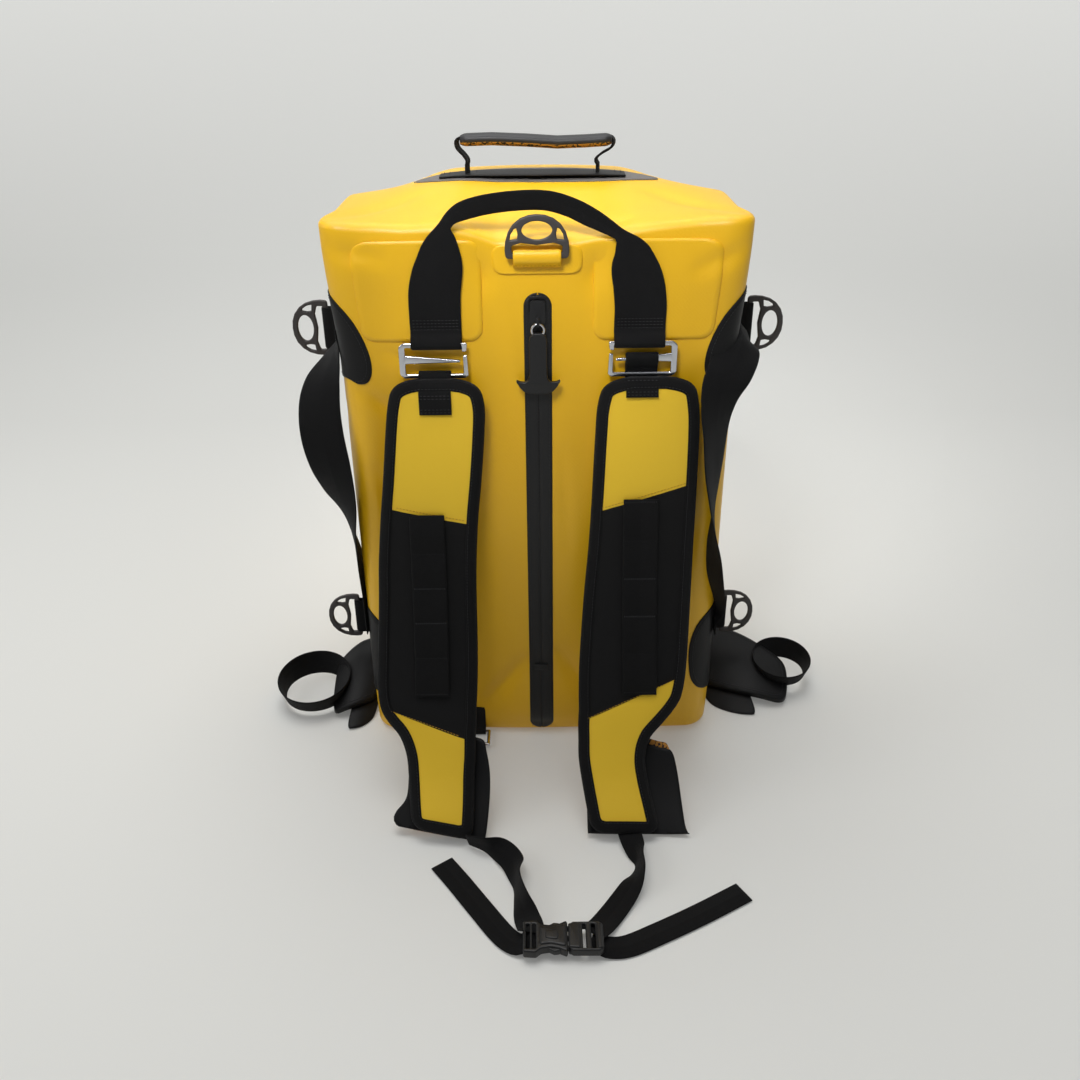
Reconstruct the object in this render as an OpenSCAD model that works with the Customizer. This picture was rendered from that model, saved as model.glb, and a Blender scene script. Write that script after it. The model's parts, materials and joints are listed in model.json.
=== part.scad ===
// Upright waterproof tail bag with a backpack harness.
// Millimetres. +Z is up, the harness faces -Y, and the origin is the centre of the base.

/* [Bag] */
// Width of the bag
bag_w = 396; // [340:1:460]
// Depth of the bag, front face to back face
bag_d = 280; // [230:1:340]
// Height of the bag's four upright walls
bag_h = 598; // [560:1:680]
// Rise of the domed top end above its edges
dome_h = 18; // [12:1:26]
// Radius of the four upright corners
corner_r = 28; // [20:1:34]
// Thickness of the coated fabric walls
wall = 2; // [1.5:0.1:3]
// Thickness of the stiffening board inside the back
board_t = 3; // [2:0.5:6]

/* [Zip] */
// Width of the slot that shows the zip
zip_w = 27; // [24:1:32]
// Height of the slot's lower end above the base
zip_bottom = 10; // [6:1:30]
// Distance from the slot's upper end down to the slider's rest place
slider_drop = 18; // [16:1:30]
// Distance from the bag's top edge down to the slot's upper end
zip_drop = 72; // [60:1:110]
// Length of the slot that the slider does not run over
zip_rest = 116; // [106:1:216]
// Length of the rubber pull, from its ring to its grip
pull_len = 50; // [40:1:60]
// Width of the pull's T grip
pull_w = 44; // [36:1:52]

/* [Webbing] */
// Width of the arch handle's webbing
handle_web = 50; // [44:1:54]
// Width of the webbing between each hook and its shoulder pad
strap_web = 32; // [25:1:38]
// Width of the chest strap's webbing
chest_web = 25; // [20:1:30]
// Thickness of a layer of webbing
web_t = 1.6; // [1.2:0.1:2]
// Distance from the centre plane to each leg of the arch handle
leg_x = 99; // [90:1:108]
// Distance from the bag's top edge down to the seam where the arch handle meets the hook loops
seam_drop = 106; // [102:1:118]
// Rise of the arch handle above its seam
arch_rise = 130; // [120:1:140]

/* [Shoulder pads] */
// Thickness of the padding
pad_t = 13; // [10:1:14]
// Width of a pad over its shoulder section
pad_w = 106; // [96:1:112]
// Width of a pad's narrow lower end
pad_end_w = 70; // [60:1:80]

/* [Fittings] */
// Width of a D-ring
ring_w = 58; // [56:1:64]
// Reach of a D-ring beyond its bar
ring_reach = 36; // [34:1:42]
// Radius of a D-ring's bar
bar_r = 3; // [2.5:0.1:3.2]
// Thickness of a D-ring's plate
ring_t = 5; // [4:0.5:6]
// Width of an upper hook, outside its wire
hook_w = 66; // [64:1:70]
// Height of an upper hook, between its bars
hook_h = 31; // [29:1:33]
// Radius of the hooks' wire
wire_r = 2.4; // [2:0.1:2.5]
// Width of the buckle's socket
buckle_w = 37; // [34:1:42]
// Clearance between parts that move on each other
gap = 0.4; // [0.3:0.05:0.5]

/* [Hidden] */
$fn = 48;

yellow = [0.84, 0.66, 0.13];
black = [0.08, 0.08, 0.09];
grey = [0.20, 0.19, 0.19];
metal = [0.80, 0.80, 0.82];

face_y = -bag_d / 2;
side_x = bag_w / 2;
flat_x = side_x - corner_r;
patch_t = 1.5;
cloth_y = face_y - patch_t;
seam_z = bag_h - seam_drop;

// Zip strip
tape_t = 1.2;
tape_overlap = 4;
tape_y = face_y + wall;
tooth_gap = 0.9;
tooth_x = 4;
tooth_t = 4;
zip_top = bag_h - zip_drop;
zip_len = zip_top - zip_bottom;
zip_travel = zip_len - zip_rest;
slider_z = zip_top - slider_drop;
slider_l = 24;
slider_w = 15;
slider_plate = 2.4;
slider_y = tape_y - tooth_t - gap - slider_plate;
stop_h = 8;
dock_w = 3.4;
stop_z = slider_z - zip_travel - slider_l / 2 - stop_h;
eye_y = slider_y - 4;
eye_z = slider_z - slider_l / 2 + 2;
eye_r = 1.7;
pull_ring_r = 6;
pull_ring_wire = 1.1;
pull_t = 3.4;
pull_head_z = eye_z - 2 * pull_ring_r;
grip_h = 11;

// D-rings and their loops
loop_in = bar_r + gap;
loop_out = loop_in + 1.2;
ring_bar_y = cloth_y - 6;
ring_bar_z = bag_h - 35;
ring_loop_w = ring_w - 2 * (bar_r + 3.2);
ring_slot = 5.5;
ring_cross = 4;
ring_eye_r = 9.5;
ring_stand = 30;
ring_side_y = -30;
upper_ring_z = bag_h - 135;
lower_ring_z = 96;

// Upper hooks
hook_bar_y = cloth_y - 6;
hook_bar_z = seam_z - 14;
hook_in = wire_r + gap;
hook_out = hook_in + 1.2;
hook_low_z = hook_bar_z - hook_h;

// Shoulder pads: their bend stays put and everything above it stretches up to their top
pad_bend = 100;
pad_top = seam_z - 52;
pad_stretch = (pad_top - pad_bend) / 340;
function pad_z(rise) = pad_bend + rise * pad_stretch;
// The centre line seen from the side, as [y, z]
pad_line = [
    [-155, pad_top], [-158, pad_z(300)], [-165, pad_z(240)], [-175, pad_z(180)], [-189, pad_z(120)],
    [-209, pad_z(60)], [-238, pad_bend], [-277, 50], [-325, 12]
];
// Stations down the right pad, as [z, inner x, width], and how far the left pad leans outwards
pad_stations = [
    [pad_top + 6, 74, pad_w - 34], [pad_top - 10, 58, pad_w - 7], [pad_z(300), 56, pad_w - 3],
    [pad_z(220), 53, pad_w], [pad_z(115), 47, pad_w + 5], [pad_z(40), 43, pad_w + 5],
    [pad_z(4), 42, pad_w - 6], [84, 40, pad_end_w + 8],
    [66, 40, pad_end_w], [34, 46, pad_end_w], [0, 54, pad_end_w - 2]
];
left_lean = [-8, -6, 0, 6, 14, 18, 24, 26, 27, 24, 16];
wrap_t = 4;
wrap_top = 78;
wrap_in = 46;
wrap_out = wrap_in + pad_w - 4;
wrap_lean = 12;
daisy_w = 36;
daisy_x = 104;
daisy_top = pad_z(212);
daisy_bottom = pad_z(18);
strap_web_low = pad_top - 24;

// Lower hooks and adjusters
low_hook_x = 84;
low_hook_w = 46;
low_hook_l = 24;
low_wire = 2;
low_in = low_wire + gap;
low_out = low_in + 1.2;
low_bar_y = face_y - 8;
low_bar_z = low_out + 0.6;
adjuster_end_y = -318;

// Chest strap on the ground, as [x, y], and its buckle
chest_z = 0.6;
chest_turn_y = -338;
left_web_line = [[-66, chest_turn_y], [-34, -362], [-26, -400], [-18, -449]];
left_tail_line = [[-18, -463], [-42, -440], [-70, -398], [-100, -352]];
right_web_line = [[88, chest_turn_y], [98, -372], [88, -398], [62, -424], [53, -446]];
right_tail_line = [[53, -461], [90, -452], [140, -424], [193, -393]];
socket_x0 = -20;
socket_x1 = 22;
plug_x1 = 55;
buckle_y = -457;
buckle_h = 12;
prong_l = 20;

// Top end
dome_top = bag_h + dome_h;
leaf_l = 250;
leaf_w = 52;
top_hinge_z = dome_top + patch_t + 6;
top_leg_x = 70;
grip_z = dome_top + 30;
grip_half = 77;
top_web_w = 12;
top_web_t = 2.4;

// Side patches, straps and wings
upper_patch_z = [bag_h - 168, bag_h - 70];
lower_patch_z = [50, 165];
strap_y = -100;
// Stand-off of a side strap from the wall, and how far up it from its lower end to its upper one
side_strap_line = [[0, 1], [22, 0.925], [50, 0.805], [50, 0.667], [38, 0.529], [14, 0.241], [0, 0.092], [0, 0]];
side_strap_z = [128, bag_h - 122];
side_strap_w = 46;
wing_l = 112;
wing_w = 76;
wing_t = 6;
wing_z = 1;
wing_skew = -24;
wing_loop_h = 26;

// ---------------------------------------------------------------- helpers

function seg_normal(a, b) = let (d = b - a) [-d[1], d[0]] / norm(d);

function point_normal(line, i) =
    let (
        n = len(line),
        before = seg_normal(line[max(i - 1, 0)], line[max(i, 1)]),
        after = seg_normal(line[min(i, n - 2)], line[min(i + 1, n - 1)]),
        mean = before + after
    )
    2 * mean / (mean * mean);

// Outline of a band from near to far on the left of a line
function band(line, near, far) = concat(
    [for (i = [0:len(line) - 1]) line[i] + near * point_normal(line, i)],
    [for (i = [len(line) - 1:-1:0]) line[i] + far * point_normal(line, i)]
);

function arc_points(rx, rz, z0, steps) = [
    for (i = [0:steps]) let (a = 180 - 180 * i / steps) [rx * cos(a), z0 + rz * sin(a)]
];

module rounded_rect(w, h, r) {
    square([w - 2 * r, h], center = true);
    square([w, h - 2 * r], center = true);
    for (x = [-1, 1], y = [-1, 1])
        translate([x * (w / 2 - r), y * (h / 2 - r)]) circle(r);
}

module slot_shape(w, l) {
    square([w, l - w], center = true);
    for (s = [-1, 1]) translate([0, s * (l - w) / 2]) circle(w / 2);
}

// A shape drawn as [x, z] and stood up with its thickness along Y, from y0 to y0 + t
module upright(y0, t) translate([0, y0 + t, 0]) rotate([90, 0, 0]) linear_extrude(t) children();

// A shape drawn as [y, z] and carried along X, from x0 to x0 + w
module along_x(x0, w) translate([x0, 0, 0]) rotate([90, 0, 90]) linear_extrude(w) children();

module box(x, y, z) translate([x[0], y[0], z[0]]) cube([x[1] - x[0], y[1] - y[0], z[1] - z[0]]);

module on_side(side) if (side < 0) mirror([1, 0, 0]) children(); else children();

module tube_x(x0, w, y, z, r_in, r_out)
    translate([x0, y, z]) rotate([0, 90, 0]) difference() {
        cylinder(r = r_out, h = w);
        translate([0, 0, -1]) cylinder(r = r_in, h = w + 2);
    }

module rod_x(x0, w, y, z, r) translate([x0, y, z]) rotate([0, 90, 0]) cylinder(r = r, h = w);

module flat_line(line, w, z0, t) translate([0, 0, z0]) linear_extrude(t) polygon(band(line, -w / 2, w / 2));

// ---------------------------------------------------------------- bag shell

module wall_ring(outer, thick) difference() {
    rounded_rect(bag_w + 2 * outer, bag_d + 2 * outer, corner_r + outer);
    rounded_rect(bag_w + 2 * (outer - thick), bag_d + 2 * (outer - thick), corner_r + outer - thick);
}

module front_panel() color(yellow) difference() {
    box([-flat_x, flat_x], [face_y, face_y + wall], [wall, bag_h - wall]);
    translate([0, 0, zip_bottom + zip_len / 2]) upright(face_y - 1, wall + 2) slot_shape(zip_w, zip_len);
}

module back_panel() color(yellow)
    box([-flat_x, flat_x], [-face_y - wall, -face_y], [wall, bag_h - wall]);

module side_panel(side) color(yellow) on_side(side)
    translate([0, 0, wall]) linear_extrude(bag_h - 2 * wall) intersection() {
        wall_ring(0, wall);
        translate([flat_x, -bag_d]) square([bag_w, 2 * bag_d]);
    }

module dome(inset, top) {
    r = corner_r - inset;
    hull() {
        translate([0, 0, bag_h - wall]) linear_extrude(wall)
            rounded_rect(bag_w - 2 * inset, bag_d - 2 * inset, r, $fn = 32);
        translate([0, 0, top - 1]) linear_extrude(1)
            rounded_rect(leaf_l + 20 - 2 * inset, leaf_w + 12 - 2 * inset, r, $fn = 32);
    }
}

module end_panel_top() color(yellow) difference() {
    dome(0, dome_top);
    translate([0, 0, -wall]) dome(wall, dome_top);
}

module end_panel_bottom() color(yellow) linear_extrude(wall) rounded_rect(bag_w, bag_d, corner_r);

module back_board() color(grey)
    box([-flat_x + 5, flat_x - 5], [-face_y - wall - board_t, -face_y - wall], [wall + 10, bag_h - 30]);

// ---------------------------------------------------------------- zip

module zip_tape(side) color(black) on_side(side) {
    box([tooth_gap, zip_w / 2 + tape_overlap], [tape_y, tape_y + tape_t], [zip_bottom - tape_overlap, zip_top]);
    box([tooth_gap, tooth_x], [tape_y - tooth_t + 1, tape_y], [stop_z + stop_h, slider_z + slider_l / 2]);
}

// Horseshoe that the slider parks in
module zip_dock() color(black) upright(tape_y - tooth_t, tooth_t) translate([0, slider_z]) difference() {
    translate([-slider_w / 2 - dock_w, 0]) square([slider_w + 2 * dock_w, slider_l / 2 + dock_w]);
    translate([-slider_w / 2 - gap, -1]) square([slider_w + 2 * gap, slider_l / 2 + gap + 1]);
    for (s = [-1, 1]) translate([s * (slider_w / 2 + dock_w), slider_l / 2 + dock_w]) circle(dock_w);
}

module zip_end_stop() color(black)
    box([-slider_w / 2, slider_w / 2], [tape_y - tooth_t, tape_y], [stop_z, stop_z + stop_h - gap]);

module zip_slider() color(grey) translate([0, 0, slider_z]) {
    flange_x = tooth_x + gap;
    back_y = tape_y + tape_t + gap;
    difference() {
        union() {
            upright(slider_y, slider_plate) rounded_rect(slider_w, slider_l, 4);
            for (s = [-1, 1])
                box(s > 0 ? [flange_x, slider_w / 2] : [-slider_w / 2, -flange_x],
                    [slider_y + slider_plate, tape_y - gap], [-slider_l / 2 + 4, slider_l / 2 - 4]);
            box([-0.45, 0.45], [slider_y + slider_plate, back_y + 1], [-3, 5]);
            upright(back_y, slider_plate) rounded_rect(slider_w, slider_l, 4);
            box([-1.6, 1.6], [eye_y - eye_r - 1.3, slider_y], [-slider_l / 2, -slider_l / 2 + 8]);
        }
        rod_x(-4, 8, eye_y, eye_z - slider_z, eye_r);
    }
}

module ring_body(wire) translate([0, eye_y, eye_z - pull_ring_r]) rotate([90, 0, 0])
    rotate_extrude() translate([pull_ring_r, 0]) circle(wire);

module zip_pull_ring() color(metal) ring_body(pull_ring_wire);

module zip_pull() color(black) difference() {
    union() {
        upright(eye_y - pull_t / 2, pull_t) translate([0, pull_head_z - pull_len / 2 + 3]) square([11, pull_len], center = true);
        upright(eye_y - pull_t / 2 - 1, pull_t + 2) translate([0, pull_head_z - pull_len - grip_h / 2 + 3]) {
            square([pull_w - grip_h, grip_h], center = true);
            for (s = [-1, 1]) translate([s * (pull_w - grip_h) / 2, 2]) circle(grip_h / 2 - 0.5);
        }
    }
    ring_body(pull_ring_wire + gap);
}

// ---------------------------------------------------------------- D-rings

// A D-ring in its own frame: bar along X at the origin, reach along +Z, thickness along Y
module d_ring() color(grey) {
    cross_z = bar_r + ring_slot;
    eye_z0 = cross_z + ring_cross + ring_eye_r - 1;
    difference() {
        upright(-ring_t / 2, ring_t) difference() {
            union() {
                translate([-ring_w / 2, -bar_r]) square([ring_w, bar_r + cross_z + ring_cross]);
                intersection() {
                    translate([-ring_w / 2, 0]) square([ring_w, ring_reach]);
                    translate([0, ring_reach - ring_w * 0.56]) circle(ring_w * 0.56);
                }
            }
            translate([-ring_w / 2 + bar_r + 2.7, 0]) square([ring_w - 2 * (bar_r + 2.7), cross_z]);
            for (s = [-1, 1])
                polygon([[s * 12, cross_z + ring_cross], [s * 22, cross_z + ring_cross], [s * 19, cross_z + ring_cross + 8]]);
            translate([-ring_w, -bar_r - 1]) square([2 * ring_w, bar_r + 1]);
        }
        translate([0, 0, eye_z0]) rotate([90, 0, 0]) cylinder(r = ring_eye_r, h = 4 * ring_t, center = true);
        rod_x(-ring_w, 2 * ring_w, 0, 0, bar_r - 0.01);
    }
    rod_x(-ring_w / 2, ring_w, 0, 0, bar_r);
}

module front_ring_patch() color(yellow) translate([0, 0, ring_bar_z]) upright(cloth_y, patch_t)
    rounded_rect(86, 62, 10);

module front_ring_loop() color(yellow) {
    box([-ring_loop_w / 2, ring_loop_w / 2], [cloth_y - 2.4, cloth_y], [ring_bar_z - 20, ring_bar_z]);
    tube_x(-ring_loop_w / 2, ring_loop_w, ring_bar_y, ring_bar_z, loop_in, loop_out);
}

module d_ring_front() translate([0, ring_bar_y, ring_bar_z]) d_ring();

module side_ring(side, z) on_side(side) translate([side_x + ring_stand, ring_side_y, z])
    rotate([0, 90, 0]) d_ring();

// Cloth patch round the front corner of one side, with the folded loop that holds a D-ring
module side_patch(side, z, ring_z) color(black) on_side(side) {
    translate([0, 0, z[0]]) linear_extrude(z[1] - z[0]) intersection() {
        wall_ring(patch_t, patch_t);
        translate([flat_x + 2, -bag_d]) square([bag_w, bag_d + 60]);
    }
    box([side_x + patch_t, side_x + ring_stand - loop_in], [ring_side_y - 1.2, ring_side_y + 1.2],
        [ring_z - ring_loop_w / 2, ring_z + ring_loop_w / 2]);
    translate([side_x + ring_stand, ring_side_y, ring_z - ring_loop_w / 2]) difference() {
        cylinder(r = loop_out, h = ring_loop_w);
        translate([0, 0, -1]) cylinder(r = loop_in, h = ring_loop_w + 2);
    }
}

// ---------------------------------------------------------------- carry handles

module handle_patch(side) color(yellow) on_side(side) {
    inner = leg_x - 45;
    translate([(inner + flat_x) / 2, 0, seam_z + 38]) upright(cloth_y, patch_t)
        rounded_rect(flat_x - inner, 104, 14);
}

arch_y = cloth_y - gap - 2 * web_t;
arch_low = seam_z + gap;
arch_top_z = seam_z + arch_rise;
arch_spring_z = seam_z + 88;

module arch_handle() color(black) {
    for (s = [-1, 1])
        upright(arch_y, 2 * web_t) polygon([
            [s * (leg_x - handle_web / 2), arch_low], [s * (leg_x + handle_web / 2), arch_low],
            [s * (leg_x + handle_web / 2), arch_spring_z - 20], [s * (leg_x + 8), arch_spring_z],
            [s * (leg_x - 12), arch_spring_z], [s * (leg_x - handle_web / 2), arch_spring_z - 20]
        ]);
    upright(arch_y - 2, 2 * web_t + 2)
        polygon(band(arc_points(leg_x - 2, arch_top_z - arch_spring_z, arch_spring_z, 24), -9, 9));
}

// Loop of webbing under the seam that holds an upper hook
module hook_loop(side) color(black) on_side(side) translate([leg_x, 0, 0]) {
    box([-handle_web / 2, handle_web / 2], [cloth_y - web_t, cloth_y], [hook_bar_z, seam_z - gap]);
    box([-handle_web / 2, handle_web / 2], [hook_bar_y, cloth_y - web_t], [hook_bar_z + hook_in, hook_bar_z + hook_out]);
    tube_x(-handle_web / 2, handle_web, hook_bar_y, hook_bar_z, hook_in, hook_out);
}

module g_hook(side) color(metal) on_side(side) translate([leg_x + 3, hook_bar_y, hook_bar_z]) {
    half = hook_w / 2 - wire_r;
    rod_x(-half, 2 * half, 0, 0, wire_r);
    rod_x(-half, 2 * half, 0, -hook_h, wire_r);
    translate([half, 0, -hook_h]) cylinder(r = wire_r, h = hook_h);
    translate([-half, 0, -hook_h]) cylinder(r = wire_r, h = hook_h / 2);
    for (x = [-half, half], z = [0, -hook_h]) translate([x, 0, z]) sphere(wire_r);
    translate([-half, 0, -hook_h / 2]) sphere(wire_r);
    upright(-1.6, 3.2) polygon([
        [half, -hook_h / 2 + 4], [half, -hook_h / 2 - 4], [-half + wire_r + 1, -hook_h / 2 - 1.5], [-half + wire_r + 1, -hook_h / 2 + 1.5]
    ]);
}

// ---------------------------------------------------------------- shoulder straps

// Edge of a pad at one station, seen from the front, as [x, z]
function pad_edge(side, i, across) =
    let (s = pad_stations[i], lean = side < 0 ? left_lean[i] : 0)
    [side * (s[1] + across * s[2] + lean), s[0]];

function pad_outline(side) = let (last = len(pad_stations) - 1) concat(
    [for (i = [0:last]) pad_edge(side, i, 0)],
    [for (i = [last:-1:0]) pad_edge(side, i, 1)]
);

module pad_band(near, far) along_x(-bag_w, 2 * bag_w) polygon(band(pad_line, near, far));

module shoulder_pad(side) color(yellow) intersection() {
    pad_band(-pad_t / 2, pad_t / 2);
    upright(-400, 300) polygon(pad_outline(side));
}

// Ladder of webbing sewn down the middle of a pad's front
module daisy_web(side) color(black) {
    x = side * (daisy_x + (side < 0 ? wrap_lean : 0));
    intersection() {
        pad_band(-pad_t / 2 - web_t, -pad_t / 2);
        box([x - daisy_w / 2, x + daisy_w / 2], [-400, -100], [daisy_bottom, daisy_top]);
    }
}

// Soft panel behind a pad's lower end, which folds round both straps as a carry grip
module grip_wrap(side) color(black) {
    x = side > 0 ? [wrap_in, wrap_out] : [-wrap_lean - wrap_out, -wrap_lean - wrap_in];
    intersection() {
        pad_band(pad_t / 2 + gap, pad_t / 2 + gap + wrap_t);
        box(x, [-400, -200], [1.2, wrap_top]);
    }
}

// Webbing from an upper hook's lower bar, doubled and sewn to the top of the pad
module strap_web(side) color(black) on_side(side) translate([leg_x + 3, 0, 0]) {
    x = [-strap_web / 2, strap_web / 2];
    front = pad_line[0][0] - pad_t / 2;
    top = pad_line[0][1];
    tube_x(-strap_web / 2, strap_web, hook_bar_y, hook_low_z, hook_in, hook_out);
    intersection() {
        pad_band(-pad_t / 2 - 2 * web_t, -pad_t / 2);
        box(x, [2 * face_y, face_y], [strap_web_low, bag_h]);
    }
    box(x, [front - 2 * web_t, front - gap], [top - 2, top + 5]);
    box(x, [front - 2 * web_t, hook_bar_y - hook_in], [top + 1, top + 5]);
}

// ---------------------------------------------------------------- lower anchors

module lower_loop(side) color(black) on_side(side) translate([low_hook_x, 0, 0]) {
    w = low_hook_w - 4 * low_wire - 4;
    box([-w / 2, w / 2], [face_y - 2 * web_t, face_y], [low_bar_z, 36]);
    box([-w / 2, w / 2], [low_bar_y, face_y], [low_bar_z + low_in, low_bar_z + low_out]);
    tube_x(-w / 2, w, low_bar_y, low_bar_z, low_in, low_out);
}

module lower_hook(side) color(metal) on_side(side) translate([low_hook_x, low_bar_y, low_bar_z]) {
    half = low_hook_w / 2 - low_wire;
    for (y = [0, -low_hook_l]) rod_x(-half, 2 * half, y, 0, low_wire);
    for (x = [-half, half]) translate([x, 0, 0]) rotate([90, 0, 0]) cylinder(r = low_wire, h = low_hook_l);
    for (x = [-half, half], y = [0, -low_hook_l]) translate([x, y, 0]) sphere(low_wire);
}

module adjuster_web(side) color(black) on_side(side) translate([low_hook_x, 0, 0]) {
    loop_y = low_bar_y - low_hook_l;
    tube_x(-strap_web / 2, strap_web, loop_y, low_bar_z, low_in, low_out);
    box([-strap_web / 2, strap_web / 2], [adjuster_end_y, loop_y], [low_bar_z - low_out, low_bar_z - low_in]);
}

// ---------------------------------------------------------------- chest strap

module chest_web_left() color(black) {
    flat_line(left_web_line, chest_web, chest_z, web_t);
    flat_line(left_tail_line, chest_web, chest_z + web_t + 0.2, web_t);
}

module chest_web_right() color(black) {
    flat_line(right_web_line, chest_web, chest_z, web_t);
    flat_line(right_tail_line, chest_web, chest_z + web_t + 0.2, web_t);
}

buckle_z = chest_z + 2 * web_t + 0.6;

module buckle_socket() color(grey) translate([0, buckle_y, buckle_z]) difference() {
    translate([socket_x0, -buckle_w / 2, 0]) cube([socket_x1 - socket_x0, buckle_w, buckle_h]);
    translate([socket_x1 - prong_l - 2, -buckle_w / 2 + 3, 2]) cube([prong_l + 3, buckle_w - 6, buckle_h - 4]);
    for (s = [-1, 1])
        translate([socket_x1 - prong_l / 2 - 2, s * buckle_w / 2, buckle_h / 2]) cube([12, 8, buckle_h - 4], center = true);
    translate([socket_x0 + 4, -chest_web / 2 - 1, -1]) cube([4, chest_web + 2, buckle_h + 2]);
}

module buckle_plug() color(grey) translate([0, buckle_y, buckle_z]) {
    difference() {
        translate([socket_x1 + gap, -buckle_w / 2 + 2, 0]) cube([plug_x1 - socket_x1, buckle_w - 4, buckle_h]);
        for (x = [plug_x1 - 8, plug_x1 - 18])
            translate([x, -chest_web / 2 - 1, -1]) cube([4, chest_web + 2, buckle_h + 2]);
    }
    for (y = [-buckle_w / 2 + 5, -1.5, buckle_w / 2 - 8])
        translate([socket_x1 - prong_l, y, 3.5]) cube([prong_l + 1, 3, buckle_h - 7]);
}

// ---------------------------------------------------------------- top end handle

module top_patch() color(black) {
    r = (leaf_l * leaf_l / 4 + leaf_w * leaf_w / 4) / leaf_w;
    translate([0, 0, dome_top]) linear_extrude(patch_t) intersection_for (s = [-1, 1])
        translate([0, s * (r - leaf_w / 2)]) circle(r, $fn = 180);
    for (s = [-1, 1])
        box(s > 0 ? [top_leg_x - 6, top_leg_x + 34] : [-top_leg_x - 34, -top_leg_x + 6], [-12, 12],
            [dome_top + patch_t, dome_top + patch_t + web_t]);
}

top_web_line = [
    [-top_leg_x, top_hinge_z + 1], [-top_leg_x - 6, grip_z - 8], [-top_leg_x + 4, grip_z],
    [top_leg_x - 4, grip_z], [top_leg_x + 6, grip_z - 8], [top_leg_x, top_hinge_z + 1]
];

module top_handle_web() color(black) upright(-top_web_w / 2, top_web_w)
    polygon(band(top_web_line, -top_web_t / 2, top_web_t / 2));

module top_grip() color(grey) difference() {
    translate([0, 0, grip_z + 1]) upright(-12, 24) rounded_rect(2 * grip_half, 11, 5);
    upright(-top_web_w / 2 - 0.3, top_web_w + 0.6) polygon(band(top_web_line, -top_web_t / 2 - 0.2, top_web_t / 2 + 0.2));
}

// ---------------------------------------------------------------- side straps and wings

module side_strap(side) color(black) on_side(side) {
    x0 = side_x + patch_t + web_t;
    line = [for (p = side_strap_line) [x0 + p[0], side_strap_z[0] + p[1] * (side_strap_z[1] - side_strap_z[0])]];
    upright(strap_y - side_strap_w / 2, side_strap_w) polygon(band(line, -web_t, web_t));
}

// Padded tab that folds down from the foot of one side, with a webbing loop on its end
module side_wing(side) color(black) on_side(side) translate([side_x + 5, 8, wing_z])
    rotate([0, 0, wing_skew]) linear_extrude(wing_t) difference() {
        union() {
            translate([22, -wing_w / 2]) square([wing_l - 34, wing_w]);
            translate([wing_l - 20, 0]) rounded_rect(24, wing_w, 10);
            rotate([0, 0, -wing_skew]) translate([2, -30]) square([40, 56]);
        }
    }

module wing_loop(side) color(black) on_side(side) translate([side_x + 5, 8, wing_z + wing_t])
    rotate([0, 0, wing_skew]) translate([wing_l - 16, 0, 0.2]) linear_extrude(wing_loop_h) {
        loop_line = [for (a = [-150:20:150]) [22 + 26 * cos(a), 28 * sin(a)]];
        polygon(band(loop_line, -web_t / 2, web_t / 2));
    }

// ---------------------------------------------------------------- nodes

front_panel();
back_panel();
side_panel(-1);  // side_panel_left
side_panel(1);  // side_panel_right
end_panel_top();
end_panel_bottom();
back_board();
zip_tape(-1);  // zip_tape_left
zip_tape(1);  // zip_tape_right
zip_dock();
zip_end_stop();
zip_slider();
zip_pull_ring();
zip_pull();
front_ring_patch();
front_ring_loop();
d_ring_front();
handle_patch(-1);  // handle_patch_left
handle_patch(1);  // handle_patch_right
arch_handle();
hook_loop(-1);  // hook_loop_left
hook_loop(1);  // hook_loop_right
g_hook(-1);  // g_hook_left
g_hook(1);  // g_hook_right
strap_web(-1);  // strap_web_left
strap_web(1);  // strap_web_right
shoulder_pad(-1);  // shoulder_pad_left
shoulder_pad(1);  // shoulder_pad_right
daisy_web(-1);  // daisy_web_left
daisy_web(1);  // daisy_web_right
grip_wrap(-1);  // grip_wrap_left
grip_wrap(1);  // grip_wrap_right
lower_loop(-1);  // lower_loop_left
lower_loop(1);  // lower_loop_right
lower_hook(-1);  // lower_hook_left
lower_hook(1);  // lower_hook_right
adjuster_web(-1);  // adjuster_web_left
adjuster_web(1);  // adjuster_web_right
chest_web_left();
chest_web_right();
buckle_socket();
buckle_plug();
top_patch();
top_handle_web();
top_grip();
side_patch(-1, upper_patch_z, upper_ring_z);  // upper_patch_left
side_patch(1, upper_patch_z, upper_ring_z);  // upper_patch_right
side_ring(-1, upper_ring_z);  // d_ring_upper_left
side_ring(1, upper_ring_z);  // d_ring_upper_right
side_patch(-1, lower_patch_z, lower_ring_z);  // lower_patch_left
side_patch(1, lower_patch_z, lower_ring_z);  // lower_patch_right
side_ring(-1, lower_ring_z);  // d_ring_lower_left
side_ring(1, lower_ring_z);  // d_ring_lower_right
side_strap(-1);  // side_strap_left
side_strap(1);  // side_strap_right
side_wing(-1);  // side_wing_left
side_wing(1);  // side_wing_right
wing_loop(-1);  // wing_loop_left
wing_loop(1);  // wing_loop_right
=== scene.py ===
import json
import math

import bmesh
import bpy
import numpy as np
from mathutils import Matrix, Vector

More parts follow.
